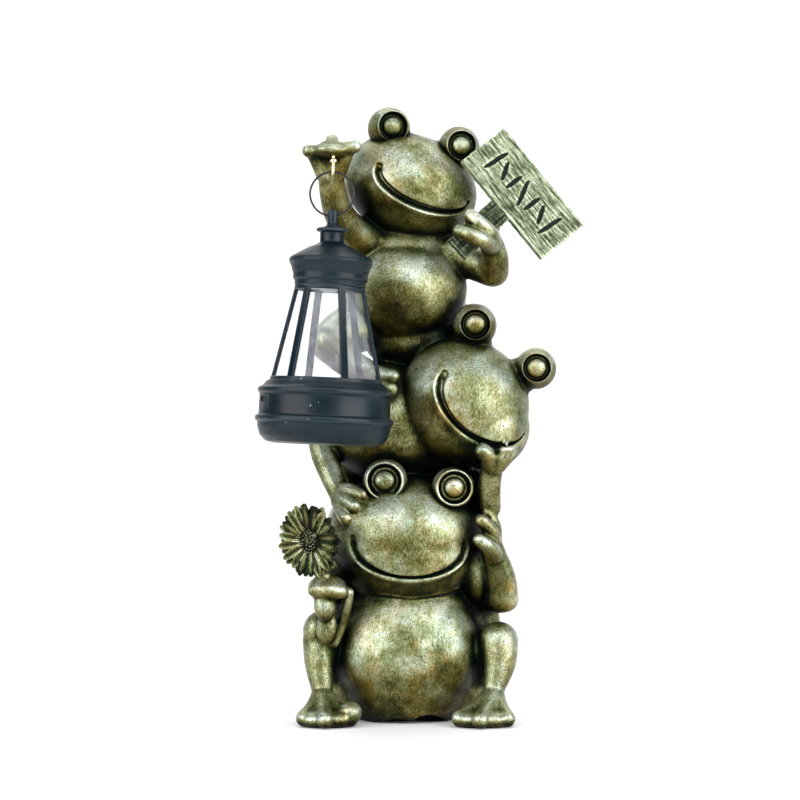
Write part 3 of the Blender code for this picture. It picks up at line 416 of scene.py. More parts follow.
def node(tree, kind, inputs=None, out=0, stops=(), **settings):
    """Adds a node with its settings and inputs, and gives one of its outputs."""
    made = tree.nodes.new("ShaderNode" + kind)
    for key, value in settings.items():
        setattr(made, key, value)
    set_inputs(tree, made, inputs or {})
    for k, (place, value) in enumerate(stops):
        element = made.color_ramp.elements[k] if k < 2 else made.color_ramp.elements.new(place)
        element.position = place
        element.color = value
    return made.outputs[out]


def paint(code):
    """Linear colour of an sRGB hex value."""
    parts = [int(code[k:k + 2], 16) / 255 for k in (0, 2, 4)]
    return (*[c / 12.92 if c <= 0.04045 else ((c + 0.055) / 1.055) ** 2.4 for c in parts], 1.0)


def grain(width):
    """The scale of a noise whose marks are this many millimetres wide."""
    return 1.0 / (width * MM)


def new_finish(name):
    """A material with its node tree and its shader."""
    made = bpy.data.materials.new(name)
    made.use_nodes = True
    return made, made.node_tree, made.node_tree.nodes["Principled BSDF"]


# Antique gold: green-black paint all over, then brass-gold and pale champagne metallic paint
# dragged over it with a nearly dry brush. Raised edges come out pale, creases stay dark, partly from
# the paint left in them and partly as painted shade, and the broad forms are mottled, scratched by
# the bristles and pitted. Light and shade are painted in as well: the paleness changes with which
# way a form faces, forms that face down carry a painted brown reflection of the floor, and the
# foot is darkened as painted shade. The pits and scratches are drawn a little under a millimetre
# wide, coarser than the real ones, so that they show.
def antique_gold(name, crease_mm=18.0, pale=0.0):
    made, tree, shader = new_finish(name)
    place = node(tree, "TexCoord", out="Object")
    upward = node(tree, "SeparateXYZ", {0: node(tree, "NewGeometry", out="Normal")}, "Z")
    # Height above the floor, for the painted shade along the foot
    height = node(tree, "SeparateXYZ", {0: place}, "Z")
    foot_shade_height_mm = node(tree, "Math", {0: height, 1: 1 / MM}, operation="MULTIPLY")
    raised = node(tree, "Attribute", out="Fac", attribute_name="raised")
    # The hollows keep the green-black paint the brush missed, and the wider creases under heads and limbs
    # are darkened as painted shade, both by how closed in they are
    open_air = node(tree, "AmbientOcclusion", {"Distance": crease_mm * MM}, "AO",
                    samples=8, only_local=True)
    patches = node(tree, "TexNoise",
                   {"Vector": place, "Scale": grain(22.2), "Detail": 3.0, "Roughness": 0.55})
    drag = node(tree, "TexNoise", {"Vector": place, "Scale": grain(5.88), "Detail": 5.0, "Roughness": 0.68})
    pits = node(tree, "TexNoise", {"Vector": place, "Scale": grain(0.87), "Detail": 2.0, "Roughness": 0.6})
    # The scratches are four times as long as they are wide, and sway from upright as they go
    sway = node(tree, "TexNoise", {"Vector": place, "Scale": grain(14.3), "Detail": 1.0}, "Color")
    sway = node(tree, "VectorMath", {0: sway, "Scale": 16 * MM}, operation="SCALE")
    swayed = node(tree, "VectorMath", {0: place, 1: sway}, operation="ADD")
    swayed = node(tree, "Mapping", {"Vector": swayed, "Scale": (1.0, 1.0, 0.25)})
    scratches = node(tree, "TexNoise",
                     {"Vector": swayed, "Scale": grain(0.8), "Detail": 2.5, "Roughness": 0.6})
    # How pale the surface is here, with the share that each cause adds: the pale top paint that has caught,
    # and painted light and shade, paler where a form faces a little upwards, darker where it faces down or
    # straight up, in the creases and along the foot
    cover_and_painted_light = 0.72 + pale
    for value, low, high, least, most in (
            (raised, 0.35, 0.62, -0.2, 0.05), (raised, 0.86, 1.0, 0.0, 0.12),
            (drag, 0.3, 0.7, -0.1, 0.1), (patches, 0.35, 0.65, -0.12, 0.12),
            (scratches, 0.35, 0.65, -0.09, 0.09), (upward, -0.55, 0.35, -0.26, 0.06),
            (upward, 0.45, 1.0, 0.0, -0.2), (open_air, 0.3, 0.82, -0.75, 0.02),
            (foot_shade_height_mm, 0.0, 7.0, -0.35, 0.0)):
        share = node(tree, "MapRange", {0: value, 1: low, 2: high, 3: least, 4: most})
        cover_and_painted_light = node(tree, "Math", {0: cover_and_painted_light, 1: share}, operation="ADD")
    gold = node(tree, "ValToRGB", {"Fac": cover_and_painted_light}, stops=(
        (0.0, paint("03090a")), (1.0, paint("dee8d8")), (0.18, paint("081512")), (0.34, paint("262f15")),
        (0.5, paint("5a5f2e")), (0.66, paint("8b9168")), (0.82, paint("b5beaa"))))
    # Below, the forms are browner: brown patches, and a painted brown reflection of the floor on forms that
    # face down. Here and there the sprayed top coat has a cool blue-green cast
    brown = node(tree, "TexNoise", {"Vector": place, "Scale": grain(17.2), "Detail": 4.0, "Roughness": 0.6})
    brown = node(tree, "MapRange", {0: brown, 1: 0.44, 2: 0.66, 3: -0.1, 4: 0.6})
    # Painted reflection of the floor: forms that face down turn browner
    under = node(tree, "MapRange", {0: upward, 1: -0.7, 2: 0.2, 3: 0.9, 4: 0.0})
    brown = node(tree, "Math", {0: brown, 1: under}, operation="ADD", use_clamp=True)
    browner = node(tree, "Mix", {0: 1.0, 6: gold, 7: paint("d3ae5a")}, 2,
                   data_type="RGBA", blend_type="MULTIPLY")
    gold = node(tree, "Mix", {0: brown, 6: gold, 7: browner}, 2, data_type="RGBA")
    cool = node(tree, "Mapping", {"Vector": place, "Location": (0.3, 0.1, 0.2)})
    cool = node(tree, "TexNoise", {"Vector": cool, "Scale": grain(18.2), "Detail": 4.0, "Roughness": 0.6})
    cool = node(tree, "MapRange", {0: cool, 1: 0.47, 2: 0.68, 3: 0.0, 4: 0.55})
    cooler = node(tree, "Mix", {0: 1.0, 6: gold, 7: paint("a4c4c0")}, 2,
                  data_type="RGBA", blend_type="MULTIPLY")
    gold = node(tree, "Mix", {0: cool, 6: gold, 7: cooler}, 2, data_type="RGBA")
    pit = node(tree, "MapRange", {0: pits, 1: 0.39, 2: 0.45, 3: 0.9, 4: 0.0})
    nick = node(tree, "MapRange", {0: scratches, 1: 0.34, 2: 0.4, 3: 0.8, 4: 0.0})
    pit = node(tree, "Math", {0: pit, 1: nick}, operation="MAXIMUM")
    some = node(tree, "MapRange", {0: drag, 1: 0.4, 2: 0.6, 3: 0.3, 4: 1.0})
    pit = node(tree, "Math", {0: pit, 1: some}, operation="MULTIPLY")
    gold = node(tree, "Mix", {0: pit, 6: gold, 7: paint("101a14")}, 2, data_type="RGBA")
    relief = 0.0
    for value, depth in ((drag, 0.8), (pits, 0.4), (scratches, 0.4)):
        relief = node(tree, "Math", {0: value, 1: depth, 2: relief}, operation="MULTIPLY_ADD")
    # A thin varnish on the raised forms, the coat, keeps their highlights colourless
    set_inputs(tree, shader, {
        "Base Color": gold,
        "Roughness": node(tree, "MapRange", {0: cover_and_painted_light, 1: 0.1, 2: 0.9, 3: 0.44, 4: 0.36}),
        "Metallic": node(tree, "MapRange", {0: cover_and_painted_light, 1: 0.05, 2: 0.45, 3: 0.2, 4: 0.72}),
        "Coat Weight": node(tree, "MapRange", {0: cover_and_painted_light, 1: 0.35, 2: 0.7, 3: 0.0, 4: 0.6}),
        "Coat Roughness": 0.3,
        "Specular IOR Level": 0.1,
        "Normal": node(tree, "Bump", {"Strength": 0.8, "Distance": 0.5 * MM, "Height": relief})})
    return made


def mark_raised(made, spread=3, gain=1.7):
    """Marks each vertex by how far it stands out, 0.5 where flat, for the brush to catch."""
    mesh = made.data
    points = np.empty(len(mesh.vertices) * 3, np.float32)
    mesh.vertices.foreach_get("co", points)
    points = points.reshape(-1, 3) / MM
    normals = np.array([v.vector for v in mesh.vertex_normals])
    ends = np.empty(len(mesh.edges) * 2, np.int32)
    mesh.edges.foreach_get("vertices", ends)
    a, b = ends.reshape(-1, 2).T
    way = points[b] - points[a]
    # Edges under 0.2 mm count as 0.2 mm long
    bend = ((normals[b] - normals[a]) * way).sum(1) / np.maximum((way**2).sum(1), 0.04)
    ends, twice = np.concatenate([a, b]), np.concatenate([bend, bend])
    others = np.concatenate([b, a])
    count = np.maximum(np.bincount(ends, minlength=len(points)), 1)
    bend = np.bincount(ends, weights=np.clip(twice, -1.0, 1.0), minlength=len(points)) / count
    for _ in range(spread):
        bend = 0.5 * bend + 0.5 * np.bincount(ends, weights=bend[others], minlength=len(points)) / count
    mark = mesh.attributes.new("raised", "FLOAT", "POINT")
    mark.data.foreach_set("value", np.clip(0.5 + gain * bend, 0.0, 1.0).astype(np.float32))


# Eyes: each is a ball with a full rim round a deep socket, and a domed pupil on a small step.
EYE_SIDES = 56
# Radius and height as shares of the ball's radius, from the pupil's tip out over the rim
EYE_FACE = (
    (0.0, 0.83), (0.15, 0.822), (0.3, 0.78), (0.41, 0.70), (0.47, 0.61), (0.5, 0.535), (0.53, 0.535),
    (0.56, 0.53), (0.585, 0.515), (0.61, 0.48), (0.645, 0.465), (0.67, 0.51), (0.685, 0.66),
    (0.7, 0.735), (0.725, 0.755), (0.755, 0.735), (0.8, 0.655),
)
PUPIL_SHARE = 0.5
RIM_SHARE = 0.755
EYE_RIMS = {"bottom": 0.85, "middle": 0.71, "top": 0.73}
# Rims of any width lie on a ball whose radius squared is this many times the eye's
RIM_BALL = 1.1
BALL_STEPS = 14


def turned(name, profile, sides, closed=False, sharp=40.0):
    """A body turned about Z from points of radius and height."""
    bm = bmesh.new()
    corners = [bm.verts.new((radius, 0.0, height)) for radius, height in profile]
    edges = [bm.edges.new(pair) for pair in zip(corners, corners[1:])]
    if closed:
        edges.append(bm.edges.new((corners[-1], corners[0])))
    bmesh.ops.spin(bm, geom=corners + edges, cent=(0, 0, 0), axis=(0, 0, 1), angle=2 * math.pi,
                   steps=sides, use_merge=True)
    bmesh.ops.remove_doubles(bm, verts=bm.verts, dist=0.001)
    made = finished(name, bm)
    made.data.set_sharp_from_angle(angle=math.radians(sharp))
    return made


def cut(target, tool, operation="DIFFERENCE"):
    """Works one closed body into another, and throws the tool away."""
    bool_step = target.modifiers.new("cut", "BOOLEAN")
    bool_step.operation = operation
    bool_step.solver = "EXACT"
    bool_step.object = tool
    applied(target)
    bpy.data.objects.remove(tool, do_unlink=True)


def eye_face(rim, radius):
    """The profile for a rim at this share of the ball's radius: the pupil is the same in all."""
    drop = math.sqrt(RIM_BALL - RIM_SHARE**2) - math.sqrt(RIM_BALL - rim**2)
    widen = (rim - PUPIL_SHARE) / (RIM_SHARE - PUPIL_SHARE)
    face = []
    for share, height in EYE_FACE:
        share = share if share < PUPIL_SHARE else PUPIL_SHARE + (share - PUPIL_SHARE) * widen
        face.append((share * radius, (height - drop) * radius))
    return face


def facing(yaw, pitch=0.0):
    """The turn that brings a piece's own top to the front, and then aside by yaw."""
    turn = Euler((math.radians(90.0 + pitch), 0.0, math.radians(yaw)), "XYZ")
    return turn.to_matrix().to_4x4()


balls = []
for name, pair in EYES.items():
    for x, y, z, radius, yaw in pair:
        profile = eye_face(EYE_RIMS[name], radius)
        # From just outside the rim round to the back
        start = math.degrees(math.asin(profile[-1][0] / radius / 1.03)) + 3
        for angle in np.radians(np.linspace(start, 170, BALL_STEPS)):
            profile.append((radius * math.sin(angle), radius * math.cos(angle)))
        ball = turned("eye", profile + [(0.0, -radius)], EYE_SIDES)
        ball.data.transform(Matrix.Translation(Vector((x, y, z)) * MM) @ facing(yaw))
        balls.append(ball)

with bpy.context.temp_override(active_object=balls[0], selected_editable_objects=balls):
    bpy.ops.object.join()
cut(casting, balls[0], "UNION")
casting.data.set_sharp_from_angle(angle=math.radians(62.0))
mark_raised(casting)
casting.data.materials.clear()
casting.data.materials.append(antique_gold("antique_gold_on_resin"))
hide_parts("frog_stack")
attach(casting, "root")


# The daisy that the bottom frog holds: two rings of grooved petals round a cluster of stamens, all
# part of the same resin casting as the frogs, with paler paint on the petals' edges.
DAISY_CENTRE = (-60.7, -48.0, 116.0)
DAISY_PITCH = 6.0
DAISY_YAW = -35.0
PETAL_LENGTH = 23.6
PETAL_FOOT = 3.0
PETAL_COUNT = 18
PETAL_STEPS = 10
PETAL_THICKNESS = 1.3
# Each ring's share of the length and how far its petals lift, the under one first
PETAL_RINGS = ((1.0, 2.0), (0.985, 3.6))
STAMENS = 46
STAMEN_SPREAD = 6.6
GOLDEN_ANGLE = 2.39996

rng = np.random.default_rng(7)
flower = bmesh.new()


def petal(bm, angle, length, half_width, lift, droop):
    """A strap with raised edges and a furrow, cupped up from the middle and bent down at its tip."""
    grid = []
    for row in np.arange(PETAL_STEPS + 1) / PETAL_STEPS:
        reach = PETAL_FOOT + (length - PETAL_FOOT) * row
        # Narrow at its foot, broadest two thirds of the way out, and round at its tip
        width = half_width * (0.42 + 0.62 * math.sin(math.pi * min(1.0, 0.12 + 0.66 * row)))
        if row > 0.72:
            width *= math.sqrt(max(0.04, 1.0 - ((row - 0.72) / 0.3) ** 2))
        height = lift * row - droop * row**3
        line = []
        for share in (-1.0, -0.72, -0.38, 0.0, 0.38, 0.72, 1.0):
            furrow = 0.85 * (abs(share) ** 1.5) - 0.5 * abs(share) ** 8 + 0.18 * math.cos(share * 7)
            line.append((reach, share * width, height + furrow * (0.35 + 0.65 * math.sin(math.pi * row))))
        grid.append(line)
    turn = Matrix.Rotation(angle, 4, "Z")
    top = [[bm.verts.new(turn @ Vector(p)) for p in line] for line in grid]
    under = [[bm.verts.new(turn @ Vector((x, y, z - PETAL_THICKNESS))) for x, y, z in line]
             for line in grid]
    rows, columns = len(grid), len(grid[0])
    for i in range(rows - 1):
        for j in range(columns - 1):
            bm.faces.new((top[i][j], top[i + 1][j], top[i + 1][j + 1], top[i][j + 1]))
            bm.faces.new((under[i][j], under[i][j + 1], under[i + 1][j + 1], under[i + 1][j]))
    rim = [(i, 0) for i in range(rows)] + [(rows - 1, j) for j in range(1, columns)]
    rim += [(i, columns - 1) for i in range(rows - 2, -1, -1)]
    rim += [(0, j) for j in range(columns - 2, 0, -1)]
    for (i, j), (k, m) in zip(rim, rim[1:] + rim[:1]):
        bm.faces.new((top[i][j], under[i][j], under[k][m], top[k][m]))


for ring, (share, lift) in enumerate(PETAL_RINGS):
    for k in range(PETAL_COUNT):
        angle = 2 * math.pi * (k + 0.5 * ring) / PETAL_COUNT + rng.uniform(-0.04, 0.04)
        length = PETAL_LENGTH * share * rng.uniform(0.93, 1.02)
        broad = 2.65 + 0.45 * max(0.0, math.cos(angle)) + rng.uniform(-0.15, 0.15)
        petal(flower, angle, length, broad, lift + rng.uniform(-0.4, 0.4), 0.9 + rng.uniform(-0.4, 0.5))
# The heart under the stamens, and the cup behind the petals
lump(flower, (0, 0, -0.4), (7.2, 7.2, 3.2))
lump(flower, (0, 0, -2.6), (15.0, 15.0, 3.4))
lump(flower, (0, 0, -5.0), (7.5, 7.5, 5.0))
for k in range(STAMENS):
    reach = STAMEN_SPREAD * math.sqrt((k + 0.5) / STAMENS)
    angle = GOLDEN_ANGLE * k
    foot = Vector((reach * math.cos(angle), reach * math.sin(angle), 1.6 - 0.03 * reach**2))
    lean = Vector((0.34 * math.cos(angle + 0.8), 0.34 * math.sin(angle + 0.8), 1.0))
    tall = rng.uniform(1.4, 3.0) + 0.18 * reach
    tip = foot + lean * tall
    limb(flower, [(*foot, 0.62), (*foot.lerp(tip, 0.5), 0.5), (*tip, 0.42)], 7, 2)
flower.transform(Matrix.Translation(DAISY_CENTRE) @ facing(DAISY_YAW, DAISY_PITCH))
daisy = finished("daisy_head", flower)
daisy.data.set_sharp_from_angle(angle=math.radians(70.0))
mark_raised(daisy, 1, 2.2)
daisy.data.materials.append(antique_gold("antique_gold_on_petals", 5.0, -0.16))
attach(daisy, "root")


# The plank sign in the top frog's fist: a resin cast of a sawn board on a short post, with grain
# lines pressed into its face and one row of brush strokes where a word would be.
SIGN_CENTRE = (71.2, -38.0, 332.0)
SIGN_LENGTH = 79.0
SIGN_WIDTH = 35.5
SIGN_THICKNESS = 6.0
SIGN_SLOPE = 50.7
SIGN_TILT = 14.0
POST_SIZE = (16.5, 40.0, 5.6)
POST_SLANT = 4.0
POST_ASIDE = -2.0
POST_OVERLAP = 1.0
STROKES = 7
STROKE_DEPTH = 0.7
STROKE_HALF_WIDTH = 1.35
GRAIN_DEPTH = 0.38
EDGE_WEAR = 0.8


def grain_height(u, v, seed):
    """Depth of the pressed wood grain: wandering lines along the board."""
    wander = 0.7 * math.sin(u * 0.06 + seed) + 0.3 * math.sin(u * 0.17 + 2.1 * seed + v * 0.4)
    lines = math.sin((v + wander) * 1.7 + seed) + 0.9 * math.sin((v + 1.4 * wander) * 3.9 + 2 * seed)
    lines += 0.7 * math.sin((v + 0.8 * wander) * 6.7 + u * 0.07)
    broken = 0.65 + 0.35 * math.sin(u * 0.31 + v * 2.3)
    return -GRAIN_DEPTH * broken * max(0.0, lines - 0.3) ** 0.7


def stroke_depth(u, v):
    """1 in the middle of one of the painted strokes, 0 outside them."""
    pitch = SIGN_LENGTH / (STROKES + 2)
    deepest = 0.0
    # They lean to one side and the other in turn, and every third is longer
    for k in range(STROKES):
        middle = (k - (STROKES - 1) / 2) * pitch
        lean = math.radians(18.0 if k % 2 else -14.0)
        half = SIGN_WIDTH * (0.26 if k % 3 == 0 else 0.18)
        along = -(u - middle) * math.sin(lean) + v * math.cos(lean)
        across = (u - middle) * math.cos(lean) + v * math.sin(lean) + 1.1 * math.sin(along / half * 1.5)
        if abs(along) < half:
            width = STROKE_HALF_WIDTH * math.sqrt(1.0 - (along / half) ** 2) + 0.2
            deepest = max(deepest, min(1.0, max(0.0, (width - abs(across)) / 0.45 + 0.3)))
    return deepest


def plank(name, size, place, cell=0.55, seed=0.0, strokes=False):
    """A closed board with worn corners, grain on every long side and sawn ends."""
    length, width, thickness = size
    halves = (length / 2, width / 2, thickness / 2)
    columns, rows, deep = (max(2, round(s / cell)) for s in (length, width, thickness * 0.6))
    bm = bmesh.new()
    points = {}
    ink = {}

    def vert(i, j, k):
        key = (i, j, k)
        if key not in points:
            spot = (length * (i / columns - 0.5), width * (j / rows - 0.5), thickness * (k / deep - 0.5))
            u, v, w = spot
            to_edge = [half - abs(c) for half, c in zip(halves, spot)]
            point = Vector(spot)
            if k in (0, deep):
                sag = grain_height(u, v, seed + k) * min(1.0, min(to_edge[:2]) / 1.2)
                mark = stroke_depth(u, v) if strokes and k == deep else 0.0
                sag -= STROKE_DEPTH * mark
                point.z += sag if k == deep else -sag
                ink[key] = mark
            elif j in (0, rows):
                point.y += (0.5 if j == 0 else -0.5) * (0.5 + 0.5 * math.sin(u * 0.6 + 3 * w + seed))
            else:
                point.x += (0.35 if i == 0 else -0.35) * (1 + math.sin(v * 2.2 + w))
            # Near an edge or a corner, the point is drawn in onto a small round
            if sorted(to_edge)[1] < EDGE_WEAR:
                centre = Vector([math.copysign(max(0.0, half - EDGE_WEAR), c) if gap < EDGE_WEAR else c
                                 for half, c, gap in zip(halves, spot, to_edge)])
                away = point - centre
                point = centre + away.normalized() * min(away.length, EDGE_WEAR + 0.1 * math.sin(u + v))
            points[key] = bm.verts.new(place @ point)
        return points[key]

    for k in (0, deep):
        for i in range(columns):
            for j in range(rows):
                bm.faces.new((vert(i, j, k), vert(i + 1, j, k), vert(i + 1, j + 1, k), vert(i, j + 1, k)))
    for j in (0, rows):
        for i in range(columns):
            for k in range(deep):
                bm.faces.new((vert(i, j, k), vert(i + 1, j, k), vert(i + 1, j, k + 1), vert(i, j, k + 1)))
    for i in (0, columns):
        for j in range(rows):
            for k in range(deep):
                bm.faces.new((vert(i, j, k), vert(i, j + 1, k), vert(i, j + 1, k + 1), vert(i, j, k + 1)))
    inked = np.array([ink.get(key, 0.0) for key in points], np.float32)
    made = finished(name, bm)
    mark = made.data.attributes.new("ink", "FLOAT", "POINT")
    mark.data.foreach_set("value", inked)
    made.data.set_sharp_from_angle(angle=math.radians(50.0))
    mark_raised(made, 1, 0.7)
    return made


# Pale brushed gold over dark green on a board with pressed grain: the brush has missed the grain
# lines and the strokes are black. The fibres are 0.7 mm wide and 10 mm long, as coarse as they
# need to be to show.
def plank_paint(name, along, pale=0.0):
    made, tree, shader = new_finish(name)
    place = node(tree, "TexCoord", out="Object")
    turn = tuple(along.to_3x3().inverted().to_euler())
    own = node(tree, "VectorRotate", {"Vector": place, "Rotation": turn}, rotation_type="EULER_XYZ")
    stretched = node(tree, "Mapping", {"Vector": own, "Scale": (0.07, 1.0, 1.0)})
    raised = node(tree, "Attribute", out="Fac", attribute_name="raised")
    ink = node(tree, "Attribute", out="Fac", attribute_name="ink")
    open_air = node(tree, "AmbientOcclusion", {"Distance": 3.0 * MM}, "AO", samples=8, only_local=True)
    fibres = node(tree, "TexNoise",
                  {"Vector": stretched, "Scale": grain(0.714), "Detail": 4.0, "Roughness": 0.7})
    drag = node(tree, "TexNoise", {"Vector": place, "Scale": grain(5.0), "Detail": 5.0, "Roughness": 0.65})
    pits = node(tree, "TexNoise", {"Vector": place, "Scale": grain(0.8), "Detail": 2.0, "Roughness": 0.6})
    cover_and_painted_light = 0.55 + pale
    for value, low, high, least, most in (
            (raised, 0.3, 0.7, -0.2, 0.2), (fibres, 0.35, 0.65, -0.34, 0.22),
            (drag, 0.3, 0.7, -0.16, 0.16), (open_air, 0.5, 0.95, -0.26, 0.03)):
        share = node(tree, "MapRange", {0: value, 1: low, 2: high, 3: least, 4: most})
        cover_and_painted_light = node(tree, "Math", {0: cover_and_painted_light, 1: share}, operation="ADD")
    gold = node(tree, "ValToRGB", {"Fac": cover_and_painted_light}, stops=(
        (0.0, paint("0c130f")), (1.0, paint("dfe6d6")), (0.25, paint("2b3424")), (0.45, paint("5f674d")),
        (0.65, paint("98a185")), (0.82, paint("bcc6ae"))))
    pit = node(tree, "MapRange", {0: pits, 1: 0.36, 2: 0.45, 3: 0.6, 4: 0.0})
    gold = node(tree, "Mix", {0: pit, 6: gold, 7: paint("1e241a")}, 2, data_type="RGBA")
    inked = node(tree, "MapRange", {0: ink, 1: 0.25, 2: 0.6})
    gold = node(tree, "Mix", {0: inked, 6: gold, 7: paint("0a0e0b")}, 2, data_type="RGBA")
    relief = 0.0
    for value, depth in ((fibres, 0.6), (pits, 0.3)):
        relief = node(tree, "Math", {0: value, 1: depth, 2: relief}, operation="MULTIPLY_ADD")
    set_inputs(tree, shader, {
        "Base Color": gold,
        "Roughness": node(tree, "MapRange", {0: fibres, 1: 0.3, 2: 0.7, 3: 0.6, 4: 0.42}),
        "Metallic": node(tree, "MapRange", {0: ink, 1: 0.25, 2: 0.6, 3: 0.5, 4: 0.0}),
        "Specular IOR Level": 0.15,
        "Normal": node(tree, "Bump", {"Strength": 0.6, "Distance": 0.4 * MM, "Height": relief})})
    return made


board_place = (Matrix.Translation(SIGN_CENTRE) @ Matrix.Rotation(math.radians(SIGN_SLOPE), 4, "Y")
               @ Matrix.Rotation(math.radians(90.0 - SIGN_TILT), 4, "X"))
post_place = (board_place @ Matrix.Rotation(math.radians(POST_SLANT), 4, "Z")
              @ Matrix.Translation((POST_ASIDE, POST_OVERLAP - (SIGN_WIDTH + POST_SIZE[1]) / 2, 0.0)))
sign = plank("plank_sign", (SIGN_LENGTH, SIGN_WIDTH, SIGN_THICKNESS), board_place, strokes=True)
sign.data.materials.append(plank_paint("brushed_gold_on_resin_plank", board_place))
post = plank("sign_post", POST_SIZE, post_place, 0.7, 2.0)
upright = board_place @ Matrix.Rotation(math.pi / 2, 4, "Z")
# The post is painted darker than the board: a painted shadow, where it stands behind the fist
post.data.materials.append(plank_paint("brushed_gold_on_post_in_painted_shadow", upright, -0.3))
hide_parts("welcome_sign")
for piece in (sign, post):
    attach(piece, "root")


# The lantern: a small moulded lantern with a drum at its foot for the works, a cage of six posts,
# a clear liner and a bell-shaped cap. It hangs a little out of plumb from a wire ring.
LANTERN_FOOT = (-51.8, -70.0, 175.3)
LANTERN_LEAN = 2.5
LANTERN_SIDES = 112
PANE_FOOT = 38.6
PANE_TOP = 96.0
PANE_FOOT_RADIUS = 34.2
PANE_TOP_RADIUS = 21.4
CAGE_POSTS = 6
CAGE_FIRST_POST = 52.0
STUB_TOP = 143.3
STUB_HOLE = 1.9
SLOT_ANGLE = 205.0
SLOT_PLACE = (41.0, 0.0, 26.5)
SLOT_SIZE = (4.0, 12.0, 3.2)
# Pieces that touch keep this gap
GAP = 0.3

lantern_place = (Matrix.Translation(Vector(LANTERN_FOOT) * MM)
                 @ Matrix.Rotation(math.radians(LANTERN_LEAN), 4, "Y"))


def rounded_profile(corners, radius, steps=3):
    """The profile with each inner corner turned on a small radius."""
    points = [corners[0]]
    for a, b, c in zip(corners, corners[1:], corners[2:]):
        a, b, c = (np.array(p, float) for p in (a, b, c))
        before, after = np.linalg.norm(a - b), np.linalg.norm(c - b)
        reach = min(radius, 0.45 * before, 0.45 * after)
        start, end = b + (a - b) * reach / before, b + (c - b) * reach / after
        for t in np.arange(steps + 1) / steps:
            points.append(tuple((1 - t) ** 2 * start + 2 * t * (1 - t) * b + t**2 * end))
    points.append(corners[-1])
    return points


# Dark slate ABS from a polished mould: a satin skin with faint flow marks, edges rubbed a little
# paler, and small pale specks where it has been knocked.
def slate_plastic(name):
    made, tree, shader = new_finish(name)
    place = node(tree, "TexCoord", out="Object")
    cloud = node(tree, "TexNoise", {"Vector": place, "Scale": grain(16.1), "Detail": 4.0, "Roughness": 0.6})
    skin = node(tree, "TexNoise", {"Vector": place, "Scale": grain(0.909), "Detail": 2.0})
    specks = node(tree, "TexNoise", {"Vector": place, "Scale": grain(2.222), "Detail": 1.0})
    raised = node(tree, "Attribute", out="Fac", attribute_name="raised")
    cloudy = node(tree, "MapRange", {0: cloud, 1: 0.3, 2: 0.7})
    colour = node(tree, "Mix", {0: cloudy, 6: paint("06131a"), 7: paint("0c1d26")}, 2, data_type="RGBA")
    worn = node(tree, "MapRange", {0: raised, 1: 0.62, 2: 0.95, 3: 0.0, 4: 0.5})
    colour = node(tree, "Mix", {0: worn, 6: colour, 7: paint("3a4a54")}, 2, data_type="RGBA")
    knocks = node(tree, "MapRange", {0: specks, 1: 0.77, 2: 0.8, 3: 0.0, 4: 0.8})
    colour = node(tree, "Mix", {0: knocks, 6: colour, 7: paint("8c949b")}, 2, data_type="RGBA")
    set_inputs(tree, shader, {
        "Base Color": colour,
        "Roughness": node(tree, "MapRange", {0: cloud, 1: 0.3, 2: 0.7, 3: 0.28, 4: 0.38}),
        "IOR": 1.53,
        "Specular IOR Level": 0.2,
        "Normal": node(tree, "Bump", {"Strength": 0.25, "Distance": 0.12 * MM, "Height": skin})})
    return made


slate = slate_plastic("dark_slate_moulded_abs")


def lantern_piece(made, solid, finish):
    """Stands a finished piece where the lantern hangs, in the place of its plain solid."""
    made.data.transform(lantern_place)
    made.data.materials.append(finish)
    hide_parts(solid)
    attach(made, "root")


drum = turned("lantern_drum", rounded_profile((
    (0.0, 0.0), (30.0, 0.0), (35.5, 1.2), (39.2, 5.0), (40.6, 10.0), (41.0, 13.2),
    (42.3, 13.9), (42.3, 16.6), (40.2, 17.4), (40.0, 30.0), (41.3, 31.2), (41.3, 33.6),
    (38.3, 35.0), (36.0, 37.9), (35.6, PANE_FOOT - GAP), (0.0, PANE_FOOT - GAP)), 0.9), LANTERN_SIDES)
slot_tool = bmesh.new()
slot_place = Matrix.Rotation(math.radians(SLOT_ANGLE), 4, "Z") @ Matrix.Translation(SLOT_PLACE)
bmesh.ops.create_cube(slot_tool, size=1.0, matrix=slot_place @ Matrix.Diagonal((*SLOT_SIZE, 1.0)))
cut(drum, finished("slot", slot_tool, False))
mark_raised(drum, 1, 0.8)
lantern_piece(drum, "lantern_base", slate)

cap = turned("lantern_cap_bell", rounded_profile((
    (0.0, PANE_TOP + 3.0), (17.0, PANE_TOP + 3.0), (18.0, PANE_TOP + GAP), (21.6, PANE_TOP + GAP),
    (21.8, 99.8), (22.8, 100.6), (22.9, 104.2), (23.5, 105.6), (24.2, 108.4), (25.7, 111.4),
    (25.7, 112.6), (25.0, 113.8), (20.5, 116.6), (14.0, 120.3), (9.4, 122.2), (7.4, 123.6), (7.4, 129.6),
    (9.8, 130.2), (9.8, 131.9), (4.6, 133.2), (3.3, 135.0), (3.3, STUB_TOP - 1.0),
    (2.4, STUB_TOP), (0.0, STUB_TOP)), 0.8), LANTERN_SIDES)
RING_CENTRE = (-46.3, -70.0, 328.3)
RING_RADIUS = 13.4
# The hole through the stub, round the lowest part of the ring's wire
ring_foot = RING_CENTRE[2] - RING_RADIUS - LANTERN_FOOT[2]
hole_height = ring_foot / math.cos(math.radians(LANTERN_LEAN)) - 0.4
hole_place = Matrix.Translation((0.0, 0.0, hole_height)) @ Matrix.Rotation(math.pi / 2, 4, "Y")
hole_tool = bmesh.new()
bmesh.ops.create_cone(hole_tool, cap_ends=True, segments=32, radius1=STUB_HOLE, radius2=STUB_HOLE,
                      depth=20.0, matrix=hole_place)
cut(cap, finished("hole", hole_tool, False))
mark_raised(cap, 1, 0.8)
lantern_piece(cap, "lantern_cap", slate)


